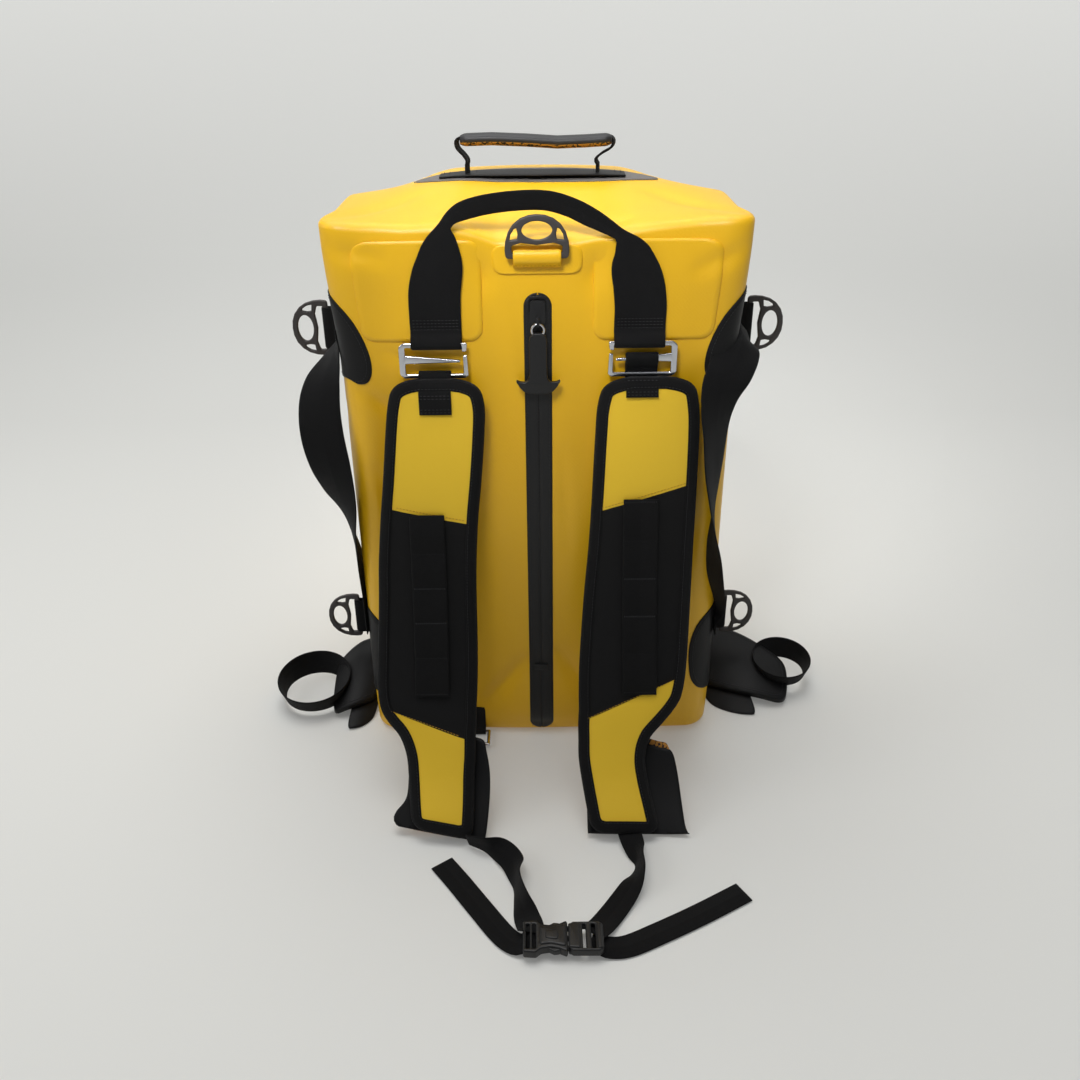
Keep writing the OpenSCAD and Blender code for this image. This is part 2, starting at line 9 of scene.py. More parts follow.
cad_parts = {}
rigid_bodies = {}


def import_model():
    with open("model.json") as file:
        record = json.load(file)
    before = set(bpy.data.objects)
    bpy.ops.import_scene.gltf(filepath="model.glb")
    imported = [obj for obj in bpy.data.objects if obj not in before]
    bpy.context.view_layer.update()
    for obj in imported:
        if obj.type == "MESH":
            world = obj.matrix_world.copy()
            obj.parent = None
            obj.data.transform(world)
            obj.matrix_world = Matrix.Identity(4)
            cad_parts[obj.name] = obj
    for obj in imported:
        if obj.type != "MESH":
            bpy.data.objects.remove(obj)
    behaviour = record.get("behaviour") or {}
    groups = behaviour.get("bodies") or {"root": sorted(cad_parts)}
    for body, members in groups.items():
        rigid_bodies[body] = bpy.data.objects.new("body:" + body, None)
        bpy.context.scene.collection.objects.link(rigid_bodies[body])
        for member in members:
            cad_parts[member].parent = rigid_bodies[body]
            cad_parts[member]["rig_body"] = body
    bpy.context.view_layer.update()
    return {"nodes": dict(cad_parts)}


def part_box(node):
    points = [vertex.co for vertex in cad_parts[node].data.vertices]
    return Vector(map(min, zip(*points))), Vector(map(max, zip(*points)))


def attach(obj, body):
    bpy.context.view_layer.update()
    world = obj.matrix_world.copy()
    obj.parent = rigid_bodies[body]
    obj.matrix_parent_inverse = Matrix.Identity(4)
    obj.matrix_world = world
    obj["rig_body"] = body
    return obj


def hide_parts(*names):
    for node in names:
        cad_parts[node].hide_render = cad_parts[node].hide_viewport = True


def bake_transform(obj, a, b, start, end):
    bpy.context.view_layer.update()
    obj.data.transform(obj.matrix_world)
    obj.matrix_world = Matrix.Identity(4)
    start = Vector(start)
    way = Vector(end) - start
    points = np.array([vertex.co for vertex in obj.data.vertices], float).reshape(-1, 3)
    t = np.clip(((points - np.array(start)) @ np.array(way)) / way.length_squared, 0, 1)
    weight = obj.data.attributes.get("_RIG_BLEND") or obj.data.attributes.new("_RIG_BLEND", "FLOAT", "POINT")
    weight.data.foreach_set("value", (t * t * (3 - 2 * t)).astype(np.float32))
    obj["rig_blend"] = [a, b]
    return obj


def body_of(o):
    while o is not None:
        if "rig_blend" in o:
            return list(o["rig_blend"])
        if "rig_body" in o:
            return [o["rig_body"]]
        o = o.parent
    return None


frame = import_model()
NODES = frame["nodes"]
SIDES = (("left", -1), ("right", 1))

# Bag, in metres
HALF_W, HALF_D, TALL, CORNER = 0.198, 0.140, 0.598, 0.028
EDGE_R = 0.008
FLAT = HALF_W - CORNER
ARC = CORNER * math.pi / 2
WEB_T = 0.0016
# Heights of the side rings' middles
RING_Z = {"upper": 0.463, "lower": 0.096}


# ------------------------------------------------------------------ shader tools


class Wire:
    """A shader socket that takes part in plain arithmetic."""

    def __init__(self, finish, socket):
        self.finish, self.socket = finish, socket

    def _maths(self, operation, *values):
        return self.finish.node("ShaderNodeMath", {"operation": operation}, *values)

    def __add__(self, other):
        return self._maths("ADD", self, other)

    def __radd__(self, other):
        return self._maths("ADD", other, self)

    def __sub__(self, other):
        return self._maths("SUBTRACT", self, other)

    def __rsub__(self, other):
        return self._maths("SUBTRACT", other, self)

    def __mul__(self, other):
        return self._maths("MULTIPLY", self, other)

    def __rmul__(self, other):
        return self._maths("MULTIPLY", other, self)

    def __truediv__(self, other):
        return self._maths("DIVIDE", self, other)

    def __gt__(self, other):
        return self._maths("GREATER_THAN", self, other)

    def sine(self):
        return self._maths("SINE", self)

    def absolute(self):
        return self._maths("ABSOLUTE", self)

    def least(self, other):
        return self._maths("MINIMUM", self, other)

    def most(self, other):
        return self._maths("MAXIMUM", self, other)


class Finish:
    """A material, with its shader's own values set on its sockets."""

    def __init__(self, name, colour, roughness, **values):
        self.mat = bpy.data.materials.new(name)
        self.mat.use_nodes = True
        self.mat.diffuse_color = (*colour, 1)
        self.tree = self.mat.node_tree
        self.shader = self.tree.nodes["Principled BSDF"]
        self.put("Base Color", (*colour, 1))
        self.put("Roughness", roughness)
        for key, value in values.items():
            self.put(key.replace("_", " ").title().replace("Ior", "IOR"), value)

    def put(self, name, value):
        socket = self.shader.inputs[name]
        if isinstance(value, Wire):
            self.tree.links.new(value.socket, socket)
        else:
            socket.default_value = value

    def node(self, kind, settings=None, *values, out=0, **named):
        made = self.tree.nodes.new(kind)
        for key, value in (settings or {}).items():
            setattr(made, key, value)
        for key, value in [*enumerate(values), *named.items()]:
            socket = made.inputs[key]
            if isinstance(value, Wire):
                self.tree.links.new(value.socket, socket)
            else:
                socket.default_value = value
        return Wire(self, made.outputs[out])

    def place(self):
        return self.node("ShaderNodeTexCoord", out="Object")

    def cloth(self):
        return self.node("ShaderNodeUVMap", {"uv_map": "cloth"})

    def split(self, vector):
        cut = self.node("ShaderNodeSeparateXYZ", None, vector)
        return [Wire(self, s) for s in cut.socket.node.outputs]

    def noise(self, vector, scale, detail=3.0):
        return self.node("ShaderNodeTexNoise", None, Vector=vector, Scale=scale, Detail=detail)

    def blend(self, share, first, second):
        made = self.tree.nodes.new("ShaderNodeMix")
        made.data_type = "RGBA"
        for index, value in ((0, share), (6, first), (7, second)):
            if isinstance(value, Wire):
                self.tree.links.new(value.socket, made.inputs[index])
            elif index:
                made.inputs[index].default_value = (*value, 1)
            else:
                made.inputs[index].default_value = value
        return Wire(self, made.outputs[2])

    def relief(self, height, depth, strength=1.0):
        bump = self.node("ShaderNodeBump", None, Strength=strength, Distance=depth, Height=height)
        self.put("Normal", bump)


def tint(r, g, b):
    """Linear colour from the usual 0 to 255 values."""
    return tuple(
        v / 12.92 if v <= 0.04045 else ((v + 0.055) / 1.055) ** 2.4
        for v in (r / 255, g / 255, b / 255)
    )


YELLOW = tint(236, 184, 16)
YELLOW_DEEP = tint(228, 172, 12)
YELLOW_PAD = tint(238, 197, 54)
BLACK = tint(15, 15, 16)
PATCH = tint(19, 19, 20)


def coated_fabric():
    """Welded tarpaulin: a smooth coat over a coarse scrim that barely shows through."""
    f = Finish("coated_fabric", YELLOW, 0.42, coat_roughness=0.35, sheen_weight=0.0)
    p = f.place()
    x, y, z = f.split(p)
    broad = f.noise(p, 9.0, 2.0)
    fine = f.noise(p, 420.0, 2.0)
    scrim = (x * 1570.0 + y * 1570.0).sine() * (z * 1570.0).sine()
    f.put("Base Color", f.blend(broad * 0.5, YELLOW, YELLOW_DEEP))
    f.put("Roughness", 0.36 + broad * 0.12)
    f.relief(fine * 0.5 + scrim * 0.07 + broad * 0.8, 0.0006, 0.5)
    return f


def pad_fabric(name, seams):
    """Shoulder pad cover: coated cloth at both ends, plain cloth between its slanted seams."""
    f = Finish(name, BLACK, 0.62, specular_ior_level=0.2)
    p = f.place()
    x, _, z = f.split(p)
    (x0, z0, x1, z1), (x2, z2, x3, z3) = seams
    upper = z - (x - x0) * ((z1 - z0) / (x1 - x0)) - z0
    lower = z - (x - x2) * ((z3 - z2) / (x3 - x2)) - z2
    coated = (upper > 0.0).most((0.0 - lower) > 0.0)
    weave = (x * 5200.0).sine() * (z * 5200.0).sine()
    fine = f.noise(p, 500.0, 2.0)
    f.put("Base Color", f.blend(coated, BLACK, YELLOW_PAD))
    f.put("Roughness", 0.66 - coated * 0.2)
    f.relief(weave * (1.0 - coated) * 0.5 + fine * 0.5, 0.0005, 0.45)
    return f


def webbing(name, colour, rib=0.0014):
    """Flat woven webbing with rows of slanting ribs that turn at the middle."""
    f = Finish(name, colour, 0.74, specular_ior_level=0.14, sheen_weight=0.04, sheen_roughness=0.4)
    across, along, _ = f.split(f.cloth())
    turn = 2 * math.pi / rib
    ribs = (along * turn + across.absolute() * (turn * 0.9)).sine()
    warp = (across * (turn * 1.4)).sine()
    fuzz = f.noise(f.place(), 700.0, 2.0)
    light = tuple(min(1.0, c * 1.5 + 0.004) for c in colour)
    f.put("Base Color", f.blend((ribs * 0.25 + fuzz * 0.6).least(1.0), colour, light))
    f.relief(ribs * 0.6 + warp * 0.25 + fuzz * 0.4, 0.0005, 0.6)
    return f


def rubber_cloth(name, colour):
    """Abrasion patch of dull rubber-coated cloth."""
    f = Finish(name, colour, 0.5, specular_ior_level=0.22)
    p = f.place()
    fine = f.noise(p, 900.0, 2.0)
    broad = f.noise(p, 14.0, 2.0)
    f.put("Roughness", 0.44 + broad * 0.14)
    f.relief(fine * 0.7 + broad * 0.6, 0.0005, 0.5)
    return f


def moulded_plastic(name, colour, roughness):
    f = Finish(name, colour, roughness, specular_ior_level=0.45)
    fine = f.noise(f.place(), 1300.0, 2.0)
    f.put("Roughness", roughness - 0.04 + fine * 0.1)
    f.relief(fine, 0.0002, 0.35)
    return f


def polished_metal():
    f = Finish("polished_metal", tint(214, 216, 222), 0.16, metallic=1.0)
    streaks = f.noise(f.place(), 60.0, 4.0)
    f.put("Roughness", 0.1 + streaks * 0.14)
    return f


def rubber():
    f = Finish("rubber", tint(14, 14, 15), 0.5, specular_ior_level=0.5)
    p = f.place()
    fine = f.noise(p, 1000.0, 2.0)
    f.put("Roughness", 0.42 + fine * 0.12)
    f.relief(fine, 0.0003, 0.4)
    return f


def grip_rubber():
    """Two-coat grip: dark on top, warm speckled rubber underneath."""
    f = Finish("grip_rubber", tint(26, 26, 28), 0.5)
    p = f.place()
    blots = f.noise(p, 380.0, 0.0)
    under = f.cloth()
    around, along, _ = f.split(under)
    below = around > 0.5
    speckle = blots > 0.56
    warm = f.blend(speckle, tint(176, 126, 48), tint(24, 21, 18))
    f.put("Base Color", f.blend(below, tint(27, 27, 29), warm))
    f.relief(f.noise(p, 800.0, 2.0), 0.0003, 0.4)
    return f


def thread(name, colour):
    """Sewing thread."""
    return Finish(name, colour, 0.55, specular_ior_level=0.4)


FABRIC = coated_fabric().mat
WEB = webbing("black_webbing", BLACK).mat
BINDING = webbing("binding_tape", tint(18, 18, 19), 0.0011).mat
DARK_PATCH = rubber_cloth("black_patch", PATCH).mat
GREY_PATCH = rubber_cloth("grey_patch", tint(106, 102, 99)).mat
RING = moulded_plastic("ring_plastic", tint(60, 56, 55), 0.46).mat
BUCKLE = moulded_plastic("buckle_plastic", tint(18, 18, 19), 0.4).mat
ZIP_COAT = moulded_plastic("zip_coat", tint(13, 13, 14), 0.5).mat
METAL = polished_metal().mat
SLIDER = moulded_plastic("slider_paint", tint(22, 22, 23), 0.35).mat
RUBBER = rubber().mat
GRIP = grip_rubber().mat
THREAD = thread("dark_thread", tint(36, 36, 39)).mat
YELLOW_THREAD = thread("yellow_thread", tint(196, 150, 34)).mat
BOARD = Finish("board", tint(60, 60, 62), 0.7).mat


# ------------------------------------------------------------------ mesh tools


def finish_mesh(name, mesh, material, body, replaces=(), smooth=True):
    """Puts a mesh on its body, at the origin, with its faces outwards."""
    bm = bmesh.new()
    bm.from_mesh(mesh)
    bmesh.ops.remove_doubles(bm, verts=bm.verts, dist=1e-6)
    bmesh.ops.recalc_face_normals(bm, faces=bm.faces)
    bm.to_mesh(mesh)
    bm.free()
    for face in mesh.polygons:
        face.use_smooth = smooth
    mesh.materials.clear()
    mesh.materials.append(material)
    obj = bpy.data.objects.new(name, mesh)
    bpy.context.scene.collection.objects.link(obj)
    if isinstance(body, str):
        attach(obj, body)
    if replaces:
        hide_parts(*replaces)
    return obj


def raw_mesh(name, verts, faces, uv=None):
    mesh = bpy.data.meshes.new(name)
    mesh.from_pydata([tuple(map(float, v)) for v in verts], [], [tuple(f) for f in faces])
    if uv is not None:
        layer = mesh.uv_layers.new(name="cloth")
        for loop in mesh.loops:
            layer.data[loop.index].uv = tuple(map(float, uv[loop.vertex_index]))
    return mesh


def loft(rings, uv=None, closed=True):
    """Vertices, faces and uv of rings joined in order, with both ends closed."""
    rings = np.asarray(rings, float)
    count, size = rings.shape[:2]
    verts = list(rings.reshape(-1, 3))
    faces = []
    for i in range(count - 1):
        for j in range(size if closed else size - 1):
            k = (j + 1) % size
            faces.append((i * size + j, i * size + k, (i + 1) * size + k, (i + 1) * size + j))
    flat = None if uv is None else list(np.asarray(uv, float).reshape(-1, 2))
    for row in (0, count - 1):
        centre = len(verts)
        verts.append(rings[row].mean(0))
        if flat is not None:
            flat.append(np.asarray(uv, float)[row].mean(0))
        for j in range(size):
            faces.append((row * size + j, row * size + (j + 1) % size, centre))
    return verts, faces, flat


def smooth_path(rows, step, closed=False):
    """Rows of numbers, the first three a place, eased through and set about one step apart."""
    rows = np.asarray(rows, float)
    first, last = 2 * rows[0] - rows[1], 2 * rows[-1] - rows[-2]
    if closed:
        first, last = rows[-1], rows[0]
    ends = np.vstack([first, rows, rows[:1] if closed else last])
    if closed:
        ends = np.vstack([ends, rows[1:2]])
    out = []
    for i in range(1, len(ends) - 2):
        a, b, c, d = ends[i - 1 : i + 3]
        n = max(1, int(round(np.linalg.norm(c[:3] - b[:3]) / step)))
        for k in range(n):
            t = k / n
            out.append(
                0.5 * (2 * b + (c - a) * t + (2 * a - 5 * b + 4 * c - d) * t**2
                       + (3 * b - 3 * c + d - a) * t**3)
            )
    if not closed:
        out.append(rows[-1])
    return np.array(out)


def unit(v):
    v = np.asarray(v, float)
    return v / np.maximum(np.linalg.norm(v, axis=-1, keepdims=True), 1e-12)


def tangents(points, closed=False):
    """Unit directions along a line of points."""
    if closed:
        return unit(np.roll(points, -1, 0) - np.roll(points, 1, 0))
    return unit(np.gradient(points, axis=0))


STRAP_SECTION = [(-1, 0), (-0.97, 0.75), (-0.88, 1), (-0.45, 1), (0, 1), (0.45, 1), (0.88, 1),
                 (0.97, 0.75), (1, 0), (0.97, -0.75), (0.88, -1), (0.45, -1), (0, -1),
                 (-0.45, -1), (-0.88, -1), (-0.97, -0.75)]


def ribbon_mesh(name, rows, thick=WEB_T, step=0.003, section=STRAP_SECTION):
    """Webbing along rows of [x, y, z, width direction x, y, z, width]."""
    path = smooth_path(rows, step)
    points, wide, width = path[:, :3], unit(path[:, 3:6]), path[:, 6]
    along = tangents(points)
    wide = unit(wide - (wide * along).sum(1, keepdims=True) * along)
    up = np.cross(along, wide)
    length = np.r_[0, np.cumsum(np.linalg.norm(np.diff(points, axis=0), axis=1))]
    rings, uv = [], []
    for a, h in section:
        rings.append(points + wide * (width * a / 2)[:, None] + up * (h * thick / 2))
        uv.append(np.stack([width * a / 2, length], 1))
    rings, uv = np.stack(rings, 1), np.stack(uv, 1)
    return raw_mesh(name, *loft(rings, uv))


def ribbon(name, rows, body, replaces=(), thick=WEB_T, step=0.003, material=None):
    mesh = ribbon_mesh(name, rows, thick, step)
    return finish_mesh(name, mesh, material or WEB, body, replaces)


def joined(name, meshes):
    """One mesh from several, with their uv kept."""
    bm = bmesh.new()
    for mesh in meshes:
        bm.from_mesh(mesh)
    out = bpy.data.meshes.new(name)
    bm.to_mesh(out)
    bm.free()
    return out


def plate_mesh(name, outlines, thick, bevel, place):
    """A flat moulding: closed outlines in [u, v], the first outside and the rest holes."""
    curve = bpy.data.curves.new(name, "CURVE")
    curve.dimensions = "2D"
    curve.fill_mode = "BOTH"
    curve.extrude = thick / 2 - bevel
    curve.bevel_depth = bevel
    curve.bevel_resolution = 3
    curve.offset = -bevel
    for outline in outlines:
        line = curve.splines.new("POLY")
        line.use_cyclic_u = True
        line.points.add(len(outline) - 1)
        for point, (u, v) in zip(line.points, outline):
            point.co = (u, v, 0, 1)
    holder = bpy.data.objects.new(name + "_flat", curve)
    bpy.context.scene.collection.objects.link(holder)
    dg = bpy.context.evaluated_depsgraph_get()
    mesh = bpy.data.meshes.new_from_object(holder.evaluated_get(dg))
    bpy.data.objects.remove(holder)
    for vertex in mesh.vertices:
        vertex.co = place(*vertex.co)
    return mesh


def rounded(points, radius, steps=6):
    """A closed outline with each corner rounded; radius is one number or one for each corner."""
    n = len(points)
    radii = radius if hasattr(radius, "__len__") else [radius] * n
    out = []
    for i, (p, r) in enumerate(zip(points, radii)):
        p, a, b = map(np.array, (p, points[i - 1], points[(i + 1) % n]))
        p, a, b = p.astype(float), a.astype(float), b.astype(float)
        to_a, to_b = unit(a - p), unit(b - p)
        half = math.acos(max(-1, min(1, float(to_a @ to_b)))) / 2
        back = min(r / max(math.tan(half), 1e-6), np.linalg.norm(a - p) / 2, np.linalg.norm(b - p) / 2)
        start, end = p + to_a * back, p + to_b * back
        for k in range(steps + 1):
            t = k / steps
            out.append(tuple((1 - t) ** 2 * start + 2 * t * (1 - t) * p + t**2 * end))
    return out


def oval(cx, cy, rx, ry, count=40):
    turn = [2 * math.pi * i / count for i in range(count)]
    return [(cx + rx * math.cos(a), cy + ry * math.sin(a)) for a in turn]


def ease(t):
    t = np.clip(t, 0, 1)
    return t * t * (3 - 2 * t)


# ------------------------------------------------------------------ stitches and teeth


def row_tree(name, shape):
    """Geometry nodes that set one small shape at even steps along every edge line."""
    tree = bpy.data.node_groups.new(name, "GeometryNodeTree")
    face = tree.interface
    face.new_socket("Geometry", in_out="INPUT", socket_type="NodeSocketGeometry")
    for label in ("Pitch", "Length", "Thickness"):
        face.new_socket(label, in_out="INPUT", socket_type="NodeSocketFloat")
    face.new_socket("Material", in_out="INPUT", socket_type="NodeSocketMaterial")
    face.new_socket("Geometry", in_out="OUTPUT", socket_type="NodeSocketGeometry")
    add, link = tree.nodes.new, tree.links.new
    start, end = add("NodeGroupInput"), add("NodeGroupOutput")
    curve, points = add("GeometryNodeMeshToCurve"), add("GeometryNodeCurveToPoints")
    points.mode = "LENGTH"
    link(start.outputs["Geometry"], curve.inputs[0])
    link(curve.outputs[0], points.inputs["Curve"])
    link(start.outputs["Pitch"], points.inputs["Length"])
    if shape == "stitch":
        grain = add("GeometryNodeMeshUVSphere")
        grain.inputs["Segments"].default_value = 6
        grain.inputs["Rings"].default_value = 4
        grain.inputs["Radius"].default_value = 0.5
    else:
        grain = add("GeometryNodeMeshCube")
        grain.inputs["Size"].default_value = (1, 1, 1)
    scale = add("ShaderNodeCombineXYZ")
    link(start.outputs["Thickness"], scale.inputs[0])
    link(start.outputs["Thickness"], scale.inputs[1])
    link(start.outputs["Length"], scale.inputs[2])
    copies = add("GeometryNodeInstanceOnPoints")
    link(points.outputs["Points"], copies.inputs["Points"])
    link(points.outputs["Rotation"], copies.inputs["Rotation"])
    link(grain.outputs[0], copies.inputs["Instance"])
    link(scale.outputs[0], copies.inputs["Scale"])
    real, paint = add("GeometryNodeRealizeInstances"), add("GeometryNodeSetMaterial")
    link(copies.outputs[0], real.inputs[0])
    link(real.outputs[0], paint.inputs["Geometry"])
    link(start.outputs["Material"], paint.inputs["Material"])
    link(paint.outputs[0], end.inputs[0])
    return tree


STITCHES = row_tree("stitch_rows", "stitch")
TEETH = row_tree("tooth_rows", "tooth")


def set_input(modifier, label, value):
    for item in modifier.node_group.interface.items_tree:
        if item.item_type == "SOCKET" and item.in_out == "INPUT" and item.name == label:
            modifier[item.identifier] = value


def rows_of(name, tree, lines, body, material, pitch, length, thick):
    """One piece holding every small shape along some lines."""
    verts, edges = [], []
    for line in lines:
        start = len(verts)
        verts.extend(tuple(map(float, p)) for p in line)
        edges.extend((start + i, start + i + 1) for i in range(len(line) - 1))
    carrier = bpy.data.meshes.new(name + "_lines")
    carrier.from_pydata(verts, edges, [])
    holder = bpy.data.objects.new(name + "_lines", carrier)
    bpy.context.scene.collection.objects.link(holder)
    modifier = holder.modifiers.new("rows", "NODES")
    modifier.node_group = tree
    for label, value in (("Pitch", pitch), ("Length", length), ("Thickness", thick),
                         ("Material", material)):
        set_input(modifier, label, value)
    dg = bpy.context.evaluated_depsgraph_get()
    mesh = bpy.data.meshes.new_from_object(holder.evaluated_get(dg))
    bpy.data.objects.remove(holder)
    mesh.materials.clear()
    mesh.materials.append(material)
    for face in mesh.polygons:
        face.use_smooth = tree is STITCHES
    obj = bpy.data.objects.new(name, mesh)
    bpy.context.scene.collection.objects.link(obj)
    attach(obj, body)
    return obj


def stitch(name, lines, body, material=None, pitch=0.0034, length=0.0026, thick=0.0007):
    return rows_of(name, STITCHES, lines, body, material or THREAD, pitch, length, thick)


# ------------------------------------------------------------------ bag skin


def perimeter(s):
    """Plan places and outward directions, s metres along the wall from the middle of the front."""
    s = np.asarray(s, float)
    side, t = np.where(s < 0, -1.0, 1.0), np.abs(s)
    deep = 2 * HALF_D - 2 * CORNER
    a = np.clip((t - FLAT) / CORNER, 0, math.pi / 2)
    b = np.clip((t - FLAT - ARC - deep) / CORNER, 0, math.pi / 2)
    run = np.clip(t - FLAT - ARC, 0, deep)
    last = np.clip(t - FLAT - 2 * ARC - deep, 0, 2 * FLAT)
    x = np.minimum(t, FLAT) + CORNER * np.sin(a) - CORNER * (1 - np.cos(b)) - last
    y = -HALF_D + CORNER * (1 - np.cos(a)) + run + CORNER * np.sin(b)
    turn = a + b
    return np.stack([side * x, y], -1), np.stack([side * np.sin(turn), -np.cos(turn)], -1)


HALF_ROUND = 2 * FLAT + 2 * ARC + 2 * HALF_D - 2 * CORNER

# How far the front edge of the top sags, from left to right
SAG_X = [-0.198, -0.165, -0.127, -0.081, -0.062, -0.038, 0.0, 0.035, 0.073, 0.092, 0.115, 0.15, 0.198]
SAG = [0.0, 0.006, 0.009, 0.008, 0.013, 0.021, 0.023, 0.022, 0.017, 0.012, 0.009, 0.005, 0.0]

# Soft swellings and hollows of the walls: [along, height, reach along, reach up, depth]
FRONT_MARKS = [
    (0.0, 0.03, 0.075, 0.045, 0.011), (-0.145, 0.03, 0.035, 0.05, 0.008),
    (0.145, 0.03, 0.03, 0.05, 0.008), (0.0, 0.09, 0.06, 0.03, -0.003),
    (-0.152, 0.36, 0.018, 0.12, -0.005), (0.156, 0.36, 0.014, 0.11, -0.004),
    (-0.045, 0.42, 0.018, 0.09, -0.0025), (0.045, 0.40, 0.018, 0.10, -0.0025),
    (-0.052, 0.553, 0.010, 0.022, -0.004), (0.056, 0.556, 0.012, 0.024, -0.005),
    (-0.16, 0.555, 0.03, 0.03, 0.003), (0.163, 0.55, 0.03, 0.035, 0.003),
    (-0.037, 0.27, 0.02, 0.08, 0.002), (0.036, 0.22, 0.02, 0.07, 0.002),
    (-0.11, 0.2, 0.05, 0.1, -0.004), (0.11, 0.22, 0.05, 0.1, -0.004),
]
# Creases: [from along, height, to along, height, half width, depth]
FRONT_FOLDS = [
    (-0.176, 0.430, -0.148, 0.402, 0.006, -0.004), (-0.150, 0.468, -0.120, 0.458, 0.006, -0.002),
    (0.175, 0.425, 0.150, 0.395, 0.006, -0.0035), (-0.186, 0.575, -0.150, 0.560, 0.008, -0.003),
    (0.186, 0.570, 0.155, 0.548, 0.008, -0.003), (-0.020, 0.100, -0.060, 0.050, 0.008, -0.004),
    (0.022, 0.110, 0.060, 0.045, 0.008, -0.004), (-0.03, 0.018, 0.03, 0.014, 0.008, -0.003),
    (-0.170, 0.34, -0.150, 0.26, 0.007, -0.003), (0.172, 0.30, 0.158, 0.2, 0.007, -0.003),
    (-0.022, 0.515, -0.012, 0.44, 0.005, -0.001), (0.024, 0.36, 0.03, 0.25, 0.006, -0.0015),
]
SIDE_MARKS = [
    (0.0, 0.30, 0.10, 0.20, 0.006), (-0.06, 0.56, 0.05, 0.03, -0.004), (0.06, 0.54, 0.05, 0.04, -0.003),
    (0.0, 0.06, 0.10, 0.05, 0.004), (-0.09, 0.30, 0.02, 0.09, -0.003), (0.08, 0.25, 0.02, 0.12, -0.004),
]
SIDE_FOLDS = [
    (-0.11, 0.40, -0.04, 0.36, 0.010, -0.004), (-0.10, 0.20, -0.03, 0.26, 0.010, -0.004),
    (0.02, 0.42, 0.10, 0.36, 0.012, -0.004), (0.0, 0.19, 0.09, 0.14, 0.010, -0.003),
    (-0.02, 0.58, 0.03, 0.50, 0.010, -0.003),
]
BACK_MARKS = [
    (0.0, 0.33, 0.14, 0.20, 0.004), (-0.12, 0.10, 0.06, 0.05, 0.002), (0.12, 0.12, 0.06, 0.06, 0.002),
    (-0.06, 0.50, 0.05, 0.04, -0.0012), (0.07, 0.47, 0.04, 0.05, -0.0012),
]


def marks(u, v, table):
    total = np.zeros_like(u)
    for cu, cv, ru, rv, depth in table:
        total += depth * np.exp(-(((u - cu) / ru) ** 2) - ((v - cv) / rv) ** 2)
    return total


def folds(u, v, table):
    total = np.zeros_like(u)
    for u0, v0, u1, v1, half, depth in table:
        du, dv = u1 - u0, v1 - v0
        along = np.clip(((u - u0) * du + (v - v0) * dv) / (du * du + dv * dv), 0, 1)
        away = np.hypot(u - u0 - along * du, v - v0 - along * dv)
        total += depth * np.exp(-((away / half) ** 2)) * (0.35 + 0.65 * np.sin(math.pi * np.clip(along,
                                                                                                 0.12,
                                                                                                 0.88)))
    return total


def skin(points, normals):
    """Moves points of the plain shell to where the filled fabric really lies."""
    p, n = np.array(points, float), np.asarray(normals, float)
    x, y, z = p[:, 0].copy(), p[:, 1].copy(), p[:, 2].copy()
    front, back, side = np.clip(-n[:, 1], 0, 1) ** 2, np.clip(n[:, 1], 0, 1) ** 2, n[:, 0] ** 2
    foot = ease(z / 0.018) * ease((TALL - z) / 0.02 + 0.15)
    loops = 1 - 0.85 * np.exp(-(((np.abs(x) - 0.084) / 0.022) ** 2) - ((z - 0.015) / 0.03) ** 2)
    out = marks(x, z, FRONT_MARKS) + folds(x, z, FRONT_FOLDS)
    p[:, 1] -= out * front * (0.35 + 0.65 * foot) * loops
    flank = np.sign(x) * 0.004 + y
    low = np.sign(x) * (marks(flank, z, SIDE_MARKS) + folds(flank, z, SIDE_FOLDS))
    p[:, 0] += low * side * foot
    p[:, 1] += marks(x, z, BACK_MARKS) * back * foot
    p[:, 2] -= edge_fall(x, y) * ease((z - 0.50) / 0.098)
    return p + corner_flare(x, y, z)


def edge_fall(x, y):
    """How far the top sags: its front edge in the middle, and both back corners."""
    front = np.interp(x, SAG_X, SAG) * ease((0.03 - y) / 0.16)
    return front + 0.026 * ease((np.abs(x) - 0.085) / 0.105) * ease((y + 0.03) / 0.15)


def corner_flare(x, y, z):
    """The welded corners of the top stand out to a point."""
    near = ease((np.abs(x) - 0.148) / 0.050) * ease((np.abs(y) - 0.090) / 0.050) * ease((z - 0.44) / 0.14)
    reach = np.where(y < 0, 0.0125, 0.007) * near
    return np.column_stack([np.sign(x) * reach, np.sign(y) * reach * 0.75, np.zeros_like(x)])


def dome(x, y):
    """Rise of the top over its edge."""
    u, v = np.clip(np.abs(x) / HALF_W, 0, 1), np.clip(np.abs(y) / HALF_D, 0, 1)
    return 0.0185 * (1 - u**2.2) * (1 - v**3)


TOP_MARKS = [
    (-0.10, -0.085, 0.05, 0.04, -0.004), (0.03, -0.07, 0.05, 0.035, -0.003),
    (0.12, -0.08, 0.05, 0.04, -0.004),
    (-0.15, 0.03, 0.03, 0.06, -0.002),
]
TOP_FOLDS = [
    (-0.085, -0.118, -0.035, -0.135, 0.006, -0.0025), (0.085, -0.118, 0.04, -0.135, 0.006, -0.0025),
    (-0.185, -0.12, -0.12, -0.05, 0.010, -0.003), (0.185, -0.12, 0.12, -0.05, 0.010, -0.003),
    (-0.185, 0.12, -0.13, 0.06, 0.010, -0.002), (0.185, 0.12, 0.13, 0.06, 0.010, -0.002),
]


